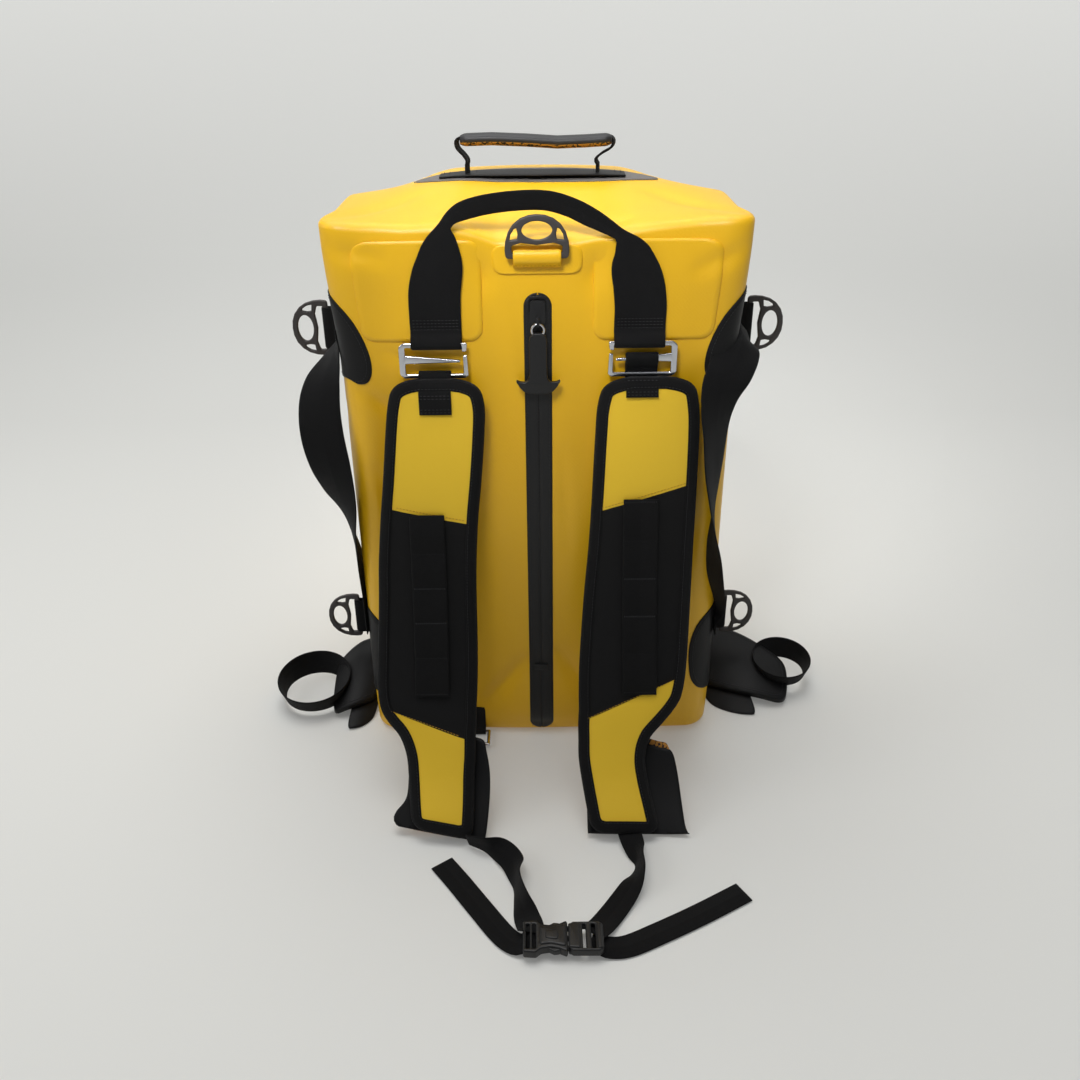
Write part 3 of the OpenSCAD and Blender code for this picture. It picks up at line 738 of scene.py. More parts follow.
def shell_grid(count, wall_rows, cap_rows):
    """Rings of the whole bag from the middle of its bottom to the middle of its top."""
    s = np.linspace(-HALF_ROUND, HALF_ROUND, count, endpoint=False)
    plan, out = perimeter(s)
    rings, normals, crowns = [], [], []

    def ring(inset, z, tip, share=1.0):
        place = (plan - out * inset) * share
        rings.append(np.column_stack([place, np.full(count, z)]))
        level = math.cos(tip)
        normals.append(np.column_stack([out * level, np.full(count, math.sin(tip))]))
        crowns.append(dome(place[:, 0], place[:, 1]) if tip > 0 else np.zeros(count))

    shares = [ease(0.5 * (i + 1) / cap_rows) * 2 for i in range(cap_rows)]
    for share in shares[:-1]:
        ring(EDGE_R, 0.0, -math.pi / 2, share)
    for i in range(6):
        a = math.pi / 2 * (1 - i / 5)
        ring(EDGE_R * (1 - math.cos(a)), EDGE_R * (1 - math.sin(a)), -a)
    for z in np.linspace(EDGE_R, TALL - EDGE_R, wall_rows)[1:-1]:
        ring(0.0, z, 0.0)
    for i in range(6):
        a = math.pi / 2 * i / 5
        ring(EDGE_R * (1 - math.cos(a)), TALL - EDGE_R * (1 - math.sin(a)), a)
    for share in shares[-2::-1]:
        ring(EDGE_R, TALL, math.pi / 2, share)
    return np.array(rings), np.array(normals), np.array(crowns)


def on_wall(s, z, lift=0.0):
    """Places on the finished wall, lifted off it along the wall's plain direction."""
    s, z = np.broadcast_arrays(np.asarray(s, float), np.asarray(z, float))
    plan, out = perimeter(s.ravel())
    flat = np.column_stack([plan, z.ravel()])
    normal = np.column_stack([out, np.zeros(len(flat))])
    keep = flat[:, 2].copy()
    p = skin(flat, normal)
    p[:, 2] = keep
    return p + normal * np.broadcast_to(lift, s.shape).reshape(-1, 1)


def on_top(x, y, lift=0.0):
    x, y = np.broadcast_arrays(np.asarray(x, float), np.asarray(y, float))
    x, y = x.ravel(), y.ravel()
    p = top_surface(x, y)
    p[:, 2] += np.broadcast_to(lift, x.shape)
    return p


def top_surface(x, y):
    z = TALL + dome(x, y) + marks(x, y, TOP_MARKS) + folds(x, y, TOP_FOLDS)
    z = z - edge_fall(x, y)
    return np.column_stack([x, y, z])


def bag_shell():
    rings, normals, crowns = shell_grid(336, 132, 34)
    count = rings.shape[1]
    flat = rings.reshape(-1, 3)
    moved = skin(flat, normals.reshape(-1, 3))
    upper = np.clip(normals.reshape(-1, 3)[:, 2], 0, 1) ** 2
    lift = crowns.reshape(-1) + marks(flat[:, 0], flat[:, 1], TOP_MARKS) + folds(flat[:, 0], flat[:, 1],
                                                                                 TOP_FOLDS)
    moved[:, 2] += lift * upper
    mesh = raw_mesh("bag_shell", *loft(moved.reshape(-1, count, 3))[:2])
    nodes = ["front_panel", "back_panel", "side_panel_left", "side_panel_right",
             "end_panel_top", "end_panel_bottom"]
    return finish_mesh("bag_shell", mesh, FABRIC, "bag", nodes)


def applique(name, outline, place, thick, material, body, replaces=(), rings=14, sink=0.0012):
    """A patch laid on a surface: an outline in the surface's own two lengths, soft at its edge."""
    outline = np.asarray(outline, float)
    centre = outline.mean(0)
    verts, uv = [], []
    for i in range(1, rings + 1):
        line = centre + (outline - centre) * (i / rings)
        verts.append(place(line[:, 0], line[:, 1], thick))
        uv.append(line)
    inset = centre + (outline - centre) * 1.004
    verts.append(place(inset[:, 0], inset[:, 1], thick * 0.72))
    uv.append(inset)
    verts.append(place(inset[:, 0], inset[:, 1], -sink))
    uv.append(inset)
    for i in (rings - 1, 1):
        line = centre + (outline - centre) * (i / rings)
        verts.append(place(line[:, 0], line[:, 1], -sink))
        uv.append(line)
    mesh = raw_mesh(name, *loft(np.array(verts), np.array(uv)))
    return finish_mesh(name, mesh, material, body, replaces)


# ------------------------------------------------------------------ patches, zip and rings


def box_outline(u0, u1, v0, v1, radius, step=0.004):
    corners = [(u0, v0), (u1, v0), (u1, v1), (u0, v1)]
    line = rounded(corners, radius, 8)
    return smooth_closed(line, step)


def smooth_closed(points, step):
    """Evenly spaced points round a closed outline."""
    points = np.asarray(points, float)
    ends = np.vstack([points, points[:1]])
    length = np.r_[0, np.cumsum(np.linalg.norm(np.diff(ends, axis=0), axis=1))]
    want = np.linspace(0, length[-1], max(24, int(length[-1] / step)), endpoint=False)
    return np.column_stack([np.interp(want, length, ends[:, i]) for i in range(2)])


def soft_outline(points, step=0.004):
    """A closed outline eased through a few points."""
    rows = np.column_stack([np.asarray(points, float), np.zeros(len(points))])
    return smooth_closed(smooth_path(rows, step, closed=True)[:, :2], step)


def handle_patches():
    for label, side in SIDES:
        outline = box_outline(side * 0.112 - 0.058, side * 0.112 + 0.058, 0.480, 0.576, 0.014)
        name = "handle_patch_" + label
        applique(name, outline, on_wall, 0.0014, FABRIC, "bag", [name])


def front_ring_mount():
    outline = box_outline(-0.043, 0.043, 0.5445, 0.5712, 0.011)
    applique("front_ring_patch", outline, on_wall, 0.0015, FABRIC, "bag",
             ["front_ring_patch"])
    bar = [(-0.1436, 0.5520), (-0.1433, 0.5575), (-0.1434, 0.5625), (-0.1446, 0.5662),
           (-0.1475, 0.5676), (-0.1505, 0.5662), (-0.1516, 0.5625), (-0.1508, 0.5580),
           (-0.1478, 0.5545), (-0.1447, 0.5522)]
    rows = [(0, y, z, 1, 0, 0, 0.0452) for y, z in bar]
    ribbon("front_ring_loop", rows, "bag", ["front_ring_loop"], 0.0014, 0.0012, FABRIC)
    seam = [(x, -0.1480, 0.5536) for x in np.linspace(-0.02, 0.02, 20)]
    stitch("front_ring_stitches", [seam], "bag", YELLOW_THREAD)


def zip_strip():
    """The two coated halves of the zip, round at their upper end."""
    reach, top = 0.0137, 0.5265
    low = 0.0075
    heights = np.r_[np.linspace(low + 0.00002, 0.0210, 20), np.linspace(0.024, 0.505, 110),
                    np.linspace(0.5065, top - 0.00002, 26)]
    for label, side in SIDES:
        gap = np.minimum(np.minimum(top - heights, heights - low), reach)
        far = np.sqrt(np.maximum(reach**2 - (reach - gap) ** 2, 0))
        near = np.minimum(0.0007, far * 0.5)
        rings, uv = [], []
        for share, lift in ((0, -0.0006), (0, 0.0009), (0.06, 0.00125), (0.3, 0.00125), (0.7, 0.00115),
                            (0.93, 0.0010), (1, 0.0005), (1, -0.0006)):
            across = side * (near + (far - near) * share)
            rings.append(on_wall(across, heights, lift))
            uv.append(np.stack([across, heights], 1))
        mesh = raw_mesh("zip_tape_" + label, *loft(np.stack(rings, 1), np.stack(uv, 1)))
        finish_mesh("zip_tape_" + label, mesh, ZIP_COAT, "bag", ["zip_tape_" + label])
    strip = on_wall(np.zeros(130), np.linspace(0.0095, 0.5245, 130), 0.0002)
    rows = np.column_stack([strip, np.tile([1, 0, 0], (130, 1)), np.full(130, 0.006)])
    ribbon("zip_backing", rows, "bag", thick=0.0006, step=0.004, material=ZIP_COAT)
    line = on_wall(np.zeros(120), np.linspace(0.010, 0.495, 120), 0.0003)
    teeth = [line + [x, 0, 0] for x in (-0.0011, 0.0011)]
    rows_of("zip_teeth", TEETH, teeth, "bag", SLIDER, 0.0016, 0.0010, 0.0018)
    seams = [on_wall(np.full(120, x), np.linspace(0.012, 0.510, 120), 0.0012) for x in (-0.0108, 0.0108)]
    stitch("zip_stitches", seams, "bag", THREAD, 0.0036, 0.0027, 0.0005)


def arch_handle():
    """Wide webbing legs that pinch in and fold double over the arch."""
    rows = [
        (-0.0990, -0.1440, 0.4875, 1, 0, 0, 0.050), (-0.0990, -0.1438, 0.505, 1, 0, 0, 0.050),
        (-0.0985, -0.1440, 0.525, 1, 0, 0, 0.050), (-0.0960, -0.1444, 0.540, 1, 0, 0, 0.0485),
        (-0.0925, -0.1448, 0.554, 1, 0, 0, 0.0450), (-0.0900, -0.1452, 0.569, 1, 0, 0, 0.0370),
        (-0.0875, -0.1456, 0.581, 1, 0, -0.1, 0.0250), (-0.0850, -0.1456, 0.5905, 1, 0, -0.4, 0.0120),
        (-0.0790, -0.1456, 0.5975, 0.7, 0, -0.7, 0.0130),
        (-0.0680, -0.1450, 0.6035, 0.4, 0.1, -0.9, 0.0175),
        (-0.0480, -0.1440, 0.6085, 0.2, 0.2, -1, 0.0190), (-0.0200, -0.1436, 0.6118, 0.05, 0.2, -1, 0.0190),
        (0.0080, -0.1436, 0.6118, -0.1, 0.2, -1, 0.0190), (0.0300, -0.1438, 0.6060, -0.3, 0.2, -1, 0.0190),
        (0.0480, -0.1442, 0.5975, -0.45, 0.15, -1, 0.0185),
        (0.0640, -0.1448, 0.5890, -0.5, 0.1, -0.9, 0.0150),
        (0.0770, -0.1454, 0.5810, -0.8, 0, -0.5, 0.0120), (0.0830, -0.1456, 0.5735, -1, 0, -0.1, 0.0230),
        (0.0880, -0.1452, 0.5640, -1, 0, 0, 0.0360), (0.0920, -0.1448, 0.5500, -1, 0, 0, 0.0450),
        (0.0965, -0.1444, 0.5340, -1, 0, 0, 0.0490), (0.0990, -0.1440, 0.515, -1, 0, 0, 0.050),
        (0.0990, -0.1438, 0.500, -1, 0, 0, 0.050), (0.0990, -0.1440, 0.4875, -1, 0, 0, 0.050),
    ]
    front = ribbon_mesh("front", rows, 0.0017)
    fold = [(x, y + 0.0022, z - 0.0006, *w, b * 0.92) for x, y, z, *w, b in rows[7:17]]
    back = ribbon_mesh("back", fold, 0.0017)
    mesh = joined("arch_handle", [front, back])
    finish_mesh("arch_handle", mesh, WEB, "arch_handle", ["arch_handle"])
    lines = []
    for _, side in SIDES:
        for z in (0.4925, 0.4955, 0.4985, 0.5015):
            lines.append([(side * 0.099 + x, -0.14495, z) for x in np.linspace(-0.021, 0.021, 16)])
    stitch("arch_handle_stitches", lines, "arch_handle")


def hook_loops():
    for label, side in SIDES:
        turn = [(-0.1426, 0.4935), (-0.1427, 0.484), (-0.1436, 0.4765), (-0.1475, 0.4739),
                (-0.1513, 0.4762), (-0.1514, 0.4805), (-0.1490, 0.4850), (-0.1459, 0.4885),
                (-0.1447, 0.4925)]
        rows = [(side * 0.099, y, z, 1, 0, 0, 0.0495) for y, z in turn]
        ribbon("hook_loop_" + label, rows, "bag", ["hook_loop_" + label], 0.0013, 0.0015)


def refined(node, material, bevel=0.0):
    """A merged, bevelled copy of a hard CAD part, in the same place."""
    source = NODES[node]
    bm = bmesh.new()
    bm.from_mesh(source.data)
    bm.transform(source.matrix_world)
    bmesh.ops.remove_doubles(bm, verts=bm.verts, dist=2e-6)
    bmesh.ops.dissolve_limit(bm, angle_limit=math.radians(1), verts=bm.verts, edges=bm.edges)
    mesh = bpy.data.meshes.new(node)
    bm.to_mesh(mesh)
    bm.free()
    obj = finish_mesh(node + "_shown", mesh, material, body_of(source)[0], [node])
    if bevel:
        cut = obj.modifiers.new("edges", "BEVEL")
        cut.width, cut.segments, cut.limit_method = bevel, 2, "ANGLE"
        cut.angle_limit = math.radians(40)
        cut.harden_normals = False
        dg = bpy.context.evaluated_depsgraph_get()
        made = bpy.data.meshes.new_from_object(obj.evaluated_get(dg))
        obj.modifiers.clear()
        obj.data = made
    obj.data.set_sharp_from_angle(angle=math.radians(35))


def crisp(obj):
    """Flat faces with sharp edges and smooth round ones."""
    obj.data.set_sharp_from_angle(angle=math.radians(50))


def mirrored(half):
    """A closed outline in metres from the right half of one in millimetres."""
    both = half + [(-u, v) for u, v in half[::-1] if u]
    return [(u / 1000, v / 1000) for u, v in both]


def millimetres(points):
    return [(u / 1000, v / 1000) for u, v in points]


RING_RIM = [(24.0, -2.7), (28.0, -2.5), (29.8, -0.4), (30.3, 5.0), (29.6, 13.0), (27.0, 21.5), (22.4, 28.4),
            (15.6, 33.8), (7.8, 36.7), (0.0, 37.4)]
RING_SLOT = [(23.6, 2.7), (23.8, 8.6), (22.0, 9.8), (15.0, 11.8), (8.0, 10.8), (0.0, 9.8)]
RING_SIDE_HOLE = [(25.3, 14.4), (18.6, 15.2), (17.9, 19.6), (19.0, 25.4), (21.4, 24.2), (24.2, 19.6)]


def d_ring(name, place):
    """Moulded ring: a plate with a wide eye, two small corner holes and a slot for its loop."""
    corner = [smooth_closed(millimetres([(side * u, v) for u, v in RING_SIDE_HOLE]),
                            0.0009) for side in (1, -1)]
    outlines = [rounded(mirrored(RING_RIM), 0.004, 5), rounded(mirrored(RING_SLOT), 0.0016, 4),
                oval(0, 0.0231, 0.0141, 0.0084, 44), *corner]
    mesh = plate_mesh(name, outlines, 0.0046, 0.0013, place)
    obj = finish_mesh(name + "_shown", mesh, RING, body_of(NODES[name])[0], [name])
    crisp(obj)


HOOK_SHAPE = [(-33.2, 2.5), (30.0, 2.5), (34.4, -1.5), (34.4, -29.5), (30.0, -33.6), (-30.6, -33.6),
              (-33.4, -30.5), (-32.6, -9.4), (-28.4, -10.0), (-28.4, -28.8), (28.2, -28.8), (28.2, -18.6),
              (-25.6, -17.4), (-25.6, -14.8), (28.2, -10.0), (28.2, -2.5), (-27.4, -2.5), (-27.6, -6.8),
              (-32.2, -6.2)]
HOOK_ROUND = [2.0, 4.6, 4.6, 4.6, 4.0, 3.0, 1.6, 1.4, 1.2, 1.6, 1.6, 1.0, 1.0, 1.0, 1.0, 1.6, 1.0, 1.2, 1.4]


def g_hook(label, side):
    """Flat polished hook: a frame open at its inner side, with a tapering bar across it."""
    outline = rounded(millimetres(HOOK_SHAPE), [r / 1000 for r in HOOK_ROUND], 6)
    name = "g_hook_" + label
    mesh = plate_mesh(name, [outline], 0.0040, 0.0013,
                      lambda u, v, w: (side * (0.102 + u), -0.1475 + w, 0.478 + v))
    obj = finish_mesh(name + "_shown", mesh, METAL, body_of(NODES[name])[0], [name])
    crisp(obj)


PULL_SHAPE = [(0.0, -0.4), (9.0, 0.2), (14.5, 2.4), (18.6, 7.0), (21.9, 12.4), (21.4, 14.0), (17.6, 12.4),
              (12.8, 12.2), (9.9, 14.4), (8.8, 19.0), (8.7, 34.0)]


def zip_pull():
    """Rubber strap that spreads into a grip with raised tips."""
    low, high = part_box("zip_pull")
    mid = (low[1] + high[1]) / 2
    top = (high[2] - low[2]) * 1000
    head = [(8.7, top - 8.0), (7.6, top - 2.4), (4.0, top + 0.4), (0.0, top + 0.6)]
    outline = smooth_closed(mirrored(PULL_SHAPE + head), 0.0012)
    mesh = plate_mesh("zip_pull", [outline], high[1] - low[1], 0.0012,
                      lambda u, v, w: (u, mid + w, low[2] + v))
    obj = finish_mesh("zip_pull_shown", mesh, RUBBER, "zip_pull", ["zip_pull"])
    crisp(obj)


def fittings():
    for label, side in SIDES:
        g_hook(label, side)
        refined("lower_hook_" + label, METAL)
        for level, ring_z in RING_Z.items():
            d_ring(f"d_ring_{level}_{label}",
                   lambda u, v, w: (side * (0.228 + v), -0.030 + w, ring_z + u))
        refined("lower_loop_" + label, DARK_PATCH)
    d_ring("d_ring_front", lambda u, v, w: (u, -0.1475 + w, 0.563 + v))
    zip_pull()
    refined("zip_slider", SLIDER, 0.0003)
    refined("zip_pull_ring", METAL)
    refined("zip_dock", ZIP_COAT, 0.0004)
    refined("zip_end_stop", ZIP_COAT, 0.0003)


# ------------------------------------------------------------------ shoulder pads

PAD_SIDE = [(-0.1555, 0.4460), (-0.158, 0.400), (-0.165, 0.340), (-0.175, 0.280), (-0.189, 0.220),
            (-0.209, 0.160), (-0.238, 0.100), (-0.277, 0.050), (-0.325, 0.012)]
# [height, inner edge, outer edge] down each pad
PAD_EDGES = {
    "left": [(0.446, 0.070, 0.134), (0.438, 0.060, 0.143), (0.418, 0.055, 0.149), (0.390, 0.056, 0.153),
             (0.345, 0.060, 0.158), (0.300, 0.065, 0.1635), (0.255, 0.068, 0.168), (0.217, 0.069, 0.170),
             (0.160, 0.069, 0.173), (0.125, 0.070, 0.174), (0.106, 0.071, 0.171), (0.094, 0.071, 0.163),
             (0.082, 0.072, 0.151), (0.066, 0.072, 0.143), (0.048, 0.073, 0.140), (0.030, 0.073, 0.138),
             (0.012, 0.074, 0.135)],
    "right": [(0.446, 0.078, 0.142), (0.438, 0.066, 0.153), (0.418, 0.060, 0.158), (0.390, 0.058, 0.160),
              (0.320, 0.055, 0.160), (0.270, 0.052, 0.159), (0.216, 0.047, 0.1575), (0.150, 0.042, 0.154),
              (0.118, 0.041, 0.149), (0.104, 0.041, 0.141), (0.090, 0.040, 0.127), (0.078, 0.040, 0.114),
              (0.062, 0.040, 0.108), (0.045, 0.043, 0.110), (0.025, 0.048, 0.116), (0.012, 0.052, 0.120)],
}
PAD_SEAMS = {
    "left": ((-0.146, 0.312, -0.079, 0.298), (-0.167, 0.108, -0.090, 0.084)),
    "right": ((0.065, 0.309, 0.148, 0.334), (0.050, 0.098, 0.140, 0.133)),
}
PAD_END_SLANT = {"left": -0.22, "right": 0.02}
PAD_HALF = 0.0062
RIM_HALF = 0.0030
BINDING_W = 0.0105
SEAM_STITCH = 0.0024


class Pad:
    """One shoulder pad: its line seen from the side and its two edges."""

    def __init__(self, label, side):
        self.label, self.side = label, side
        line = smooth_path([(0, y, z) for y, z in PAD_SIDE], 0.004)
        self.yz = line[:, 1:]
        self.run = np.r_[0, np.cumsum(np.linalg.norm(np.diff(self.yz, axis=0), axis=1))]
        d = unit(np.gradient(self.yz, axis=0))
        self.out = np.column_stack([d[:, 1], -d[:, 0]])
        edges = np.array(PAD_EDGES[label])
        eased = smooth_path([(h, a, b) for h, a, b in edges], 0.003)
        heights = eased[:, 0]
        down = np.interp(-heights, -self.yz[:, 1], self.run)
        order = np.argsort(down)
        self.down, self.inner, self.outer = down[order], eased[order, 1], eased[order, 2]
        self.length = self.run[-1]

    def edges(self, v):
        a, b = np.interp(v, self.down, self.inner), np.interp(v, self.down, self.outer)
        for r, gap in ((0.016, v), (0.012, self.length - v)):
            short = np.clip(gap, 0, r)
            cut = r - np.sqrt(np.maximum(r * r - (r - short) ** 2, 0))
            a, b = a + cut, b - cut
        return a, b

    def height(self, v):
        return np.interp(v, self.run, self.yz[:, 1])

    def at_height(self, z):
        return np.interp(-np.asarray(z, float), -self.yz[:, 1], self.run)

    def place(self, u, v, h):
        """u is the distance from the bag's centre plane, v the length down the pad, h off its middle."""
        u, v, h = np.broadcast_arrays(*(np.asarray(k, float) for k in (u, v, h)))
        u, v, h = u.ravel(), v.ravel(), h.ravel()
        tail = ease((v - self.length + 0.06) / 0.06)
        v = v + tail * PAD_END_SLANT[self.label] * (u - 0.1) * 0.9
        over = np.maximum(v - self.length, 0)
        y = np.interp(v, self.run, self.yz[:, 0])
        z = np.interp(v, self.run, self.yz[:, 1])
        ny = np.interp(v, self.run, self.out[:, 0])
        nz = np.interp(v, self.run, self.out[:, 1])
        n = np.hypot(ny, nz)
        end = self.yz[-1] - self.yz[-2]
        end = end / np.linalg.norm(end)
        sway = 0.0016 * np.sin(v * 21 + self.side) * ease(v / 0.1)
        y = y + over * end[0] + (h + sway) * ny / n
        z = z + over * end[1] + (h + sway) * nz / n
        return np.column_stack([u * self.side, y, np.maximum(z, 0.0012)])

    def thickness(self, u, v):
        """Half thickness of the padding, thin at its rim and dipping along its two seams."""
        a, b = self.edges(v)
        mid, half = (a + b) / 2, np.maximum((b - a) / 2, 1e-4)
        share = np.clip(np.abs(u - mid) / half, 0, 1)
        ends = np.clip(np.minimum(v, self.length - v) / 0.022, 0, 1)
        body = (1 - share**3.0) * (1 - (1 - ends) ** 2.2)
        x, z = u * self.side, self.height(v)
        dip = 0
        for x0, z0, x1, z1 in PAD_SEAMS[self.label]:
            off = z - z0 - (x - x0) * (z1 - z0) / (x1 - x0)
            dip = dip + 0.42 * np.exp(-((off / 0.0042) ** 2))
        return RIM_HALF + (PAD_HALF - RIM_HALF) * body * (1 - np.clip(dip, 0, 0.6))


def pad_core(pad):
    """The padding's own cover, front and back in one closed skin."""
    rim = 0.0016
    rows = np.r_[np.linspace(rim, 0.02, 8), np.linspace(0.024, pad.length - 0.02, 104),
                 np.linspace(pad.length - 0.016, pad.length - rim, 7)]
    shares = np.r_[-1, -0.97, -0.92, np.linspace(-0.86, 0.86, 26), 0.92, 0.97, 1]
    rings = []
    for v in rows:
        a, b = pad.edges(np.array([v]))
        u = (a + b) / 2 + ((b - a) / 2 - rim) * shares
        t = pad.thickness(u, np.full_like(u, v))
        front = pad.place(u, v, t)
        back = pad.place(u[::-1], v, -t[::-1] * 0.96)
        rings.append(np.vstack([front, back]))
    mesh = raw_mesh("shoulder_pad_" + pad.label, *loft(rings)[:2])
    finish = pad_fabric("pad_fabric_" + pad.label, PAD_SEAMS[pad.label])
    obj = finish_mesh("shoulder_pad_" + pad.label, mesh, finish.mat, None)
    held = held_points(obj, pad)
    puff(obj, held, 0.0035)
    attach(obj, "shoulder_strap_" + pad.label)
    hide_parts("shoulder_pad_" + pad.label)
    return obj


def held_points(obj, pad):
    """The points that sewing holds still: the rim, the ends and the two seams."""
    held = []
    for vertex in obj.data.vertices:
        x, _, z = vertex.co
        v = float(pad.at_height(z))
        a, b = pad.edges(np.array([v]))
        near_rim = min(x * pad.side - a[0], b[0] - x * pad.side) < BINDING_W
        near_end = v < 0.016 or v > pad.length - 0.020
        on_seam = any(
            abs(z - z0 - (x - x0) * (z1 - z0) / (x1 - x0)) < 0.0030
            for x0, z0, x1, z1 in PAD_SEAMS[pad.label]
        )
        if near_rim or near_end or on_seam:
            held.append(vertex.index)
    return held


def puff(obj, held, cap):
    """Lets the cover swell under a little pressure, held at its sewing, and keeps the result."""
    group = obj.vertex_groups.new(name="held")
    group.add(held, 1.0, "REPLACE")
    modifier = obj.modifiers.new("swell", "CLOTH")
    cloth = modifier.settings
    cloth.quality = 4
    cloth.mass = 0.3
    cloth.tension_stiffness = cloth.compression_stiffness = 25
    cloth.shear_stiffness, cloth.bending_stiffness = 10, 1.5
    cloth.use_pressure = True
    cloth.uniform_pressure_force = 4.0
    cloth.vertex_group_mass = "held"
    cloth.effector_weights.gravity = 0
    modifier.point_cache.frame_start, modifier.point_cache.frame_end = 1, 20
    scene = bpy.context.scene
    for step in range(1, 21):
        scene.frame_set(step)
    dg = bpy.context.evaluated_depsgraph_get()
    moved = obj.evaluated_get(dg).to_mesh()
    new = np.array([v.co for v in moved.vertices])
    old = np.array([v.co for v in obj.data.vertices])
    shift = new - old
    size = np.linalg.norm(shift, axis=1, keepdims=True)
    shift *= np.minimum(1, cap / np.maximum(size, 1e-9))
    obj.evaluated_get(dg).to_mesh_clear()
    obj.modifiers.clear()
    obj.vertex_groups.clear()
    scene.frame_set(1)
    for vertex, place in zip(obj.data.vertices, old + shift):
        vertex.co = place


def pad_outline(pad):
    """Points round the pad, with the directions into it, in the pad's own flat lengths."""
    v = np.r_[np.linspace(0, 0.016, 10), np.linspace(0.020, pad.length - 0.014, 110),
              np.linspace(pad.length - 0.012, pad.length, 9)]
    a, b = pad.edges(v)
    down = np.column_stack([b, v])
    foot = np.column_stack([np.linspace(b[-1], a[-1], 14)[1:-1], np.full(12, pad.length)])
    up = np.column_stack([a, v])[::-1]
    head = np.column_stack([np.linspace(a[0], b[0], 14)[1:-1], np.zeros(12)])
    line = smooth_closed(np.vstack([down, foot, up, head]), 0.0042)
    along = tangents(line, closed=True)
    inward = np.column_stack([-along[:, 1], along[:, 0]])
    if ((line.mean(0) - line) * inward).sum() < 0:
        inward = -inward
    return line, inward


def binding(pad):
    """Woven tape folded over the pad's whole rim."""
    line, inward = pad_outline(pad)
    section = [(BINDING_W, 0.2), (BINDING_W - 0.0006, 1.0), (0.0060, 1.15), (0.0022, 1.1)]
    rings, uv = [], []
    length = np.r_[0, np.cumsum(np.linalg.norm(np.diff(line, axis=0), axis=1))]
    for face in (1, -1):
        for inset, lift in section if face > 0 else section[::-1]:
            spot = line + inward * inset
            inside = np.clip(spot[:, 1], 0, pad.length)
            h = pad.thickness(spot[:, 0], inside) + lift * 0.001
            rings.append(pad.place(spot[:, 0], spot[:, 1], face * h))
            uv.append(np.column_stack([np.full(len(line), face * (inset - 0.012)), length]))
        if face > 0:
            for inset, h in ((-0.0004, 0.0034), (-0.0014, 0.0), (-0.0004, -0.0034)):
                spot = line + inward * inset
                rings.append(pad.place(spot[:, 0], spot[:, 1], h))
                uv.append(np.column_stack([np.full(len(line), h), length]))
    rings, uv = np.stack(rings, 1), np.stack(uv, 1)
    count, size = rings.shape[:2]
    faces = [(i * size + j, i * size + (j + 1) % size, ((i + 1) % count) * size + (j + 1) % size,
              ((i + 1) % count) * size + j) for i in range(count) for j in range(size)]
    name = "pad_binding_" + pad.label
    mesh = raw_mesh(name, rings.reshape(-1, 3), faces, uv.reshape(-1, 2))
    body = "shoulder_strap_" + pad.label
    finish_mesh(name, mesh, BINDING, body)
    spot = line + inward * (BINDING_W - 0.0022)
    h = pad.thickness(spot[:, 0], np.clip(spot[:, 1], 0, pad.length)) + 0.00125
    lines = []
    for face in (1, -1):
        points = pad.place(spot[:, 0], spot[:, 1], face * h)
        lines.append(np.vstack([points, points[:1]]))
    stitch("pad_binding_stitches_" + pad.label, lines, body)


def seam_stitches(pad):
    """A row of yellow stitches just outside each of the pad's two seams."""
    lines = []
    for (x0, z0, x1, z1), shift in zip(PAD_SEAMS[pad.label], (SEAM_STITCH, -SEAM_STITCH)):
        x = np.linspace(x0, x1, 40) if pad.side * x0 < pad.side * x1 else np.linspace(x1, x0, 40)
        z = z0 + (x - x0) * (z1 - z0) / (x1 - x0) + shift
        v = pad.at_height(z)
        u = x * pad.side
        lines.append(pad.place(u, v, pad.thickness(u, v) + 0.0008))
    stitch("pad_seam_stitches_" + pad.label, lines, "shoulder_strap_" + pad.label, YELLOW_THREAD)


def ladder(pad):
    """Webbing down the middle of the pad, tacked across at even steps so that it forms loops."""
    u = 0.116 if pad.side < 0 else 0.104
    low, high = 0.120, 0.304 if pad.side < 0 else 0.318
    v0, v1 = pad.at_height(high), pad.at_height(low)
    tacks = np.linspace(v0, v1, 6)
    v = np.linspace(v0 - 0.003, v1 + 0.003, 90)
    near = np.abs(v[:, None] - tacks).min(1)
    puffed = 0.0022 * np.clip(near / ((v1 - v0) / 10), 0, 1) ** 0.6
    t = pad.thickness(np.full_like(v, u), v) + 0.0024 + puffed
    points = pad.place(u, v, t)
    rows = np.column_stack([points, np.tile([pad.side, 0, 0], (len(v), 1)), np.full(len(v), 0.036)])
    name = "daisy_web_" + pad.label
    body = "shoulder_strap_" + pad.label
    ribbon(name, rows, body, [name])
    lines = []
    for tack in tacks:
        for shift in (-0.0012, -0.0004, 0.0004, 0.0012):
            across = np.linspace(u - 0.0155, u + 0.0155, 20)
            place_v = np.full(20, tack + shift)
            h = pad.thickness(np.full(20, u), place_v) + 0.0033
            lines.append(pad.place(across, place_v, h))
    stitch("bartacks_" + pad.label, lines, body, pitch=0.0022, length=0.0021)


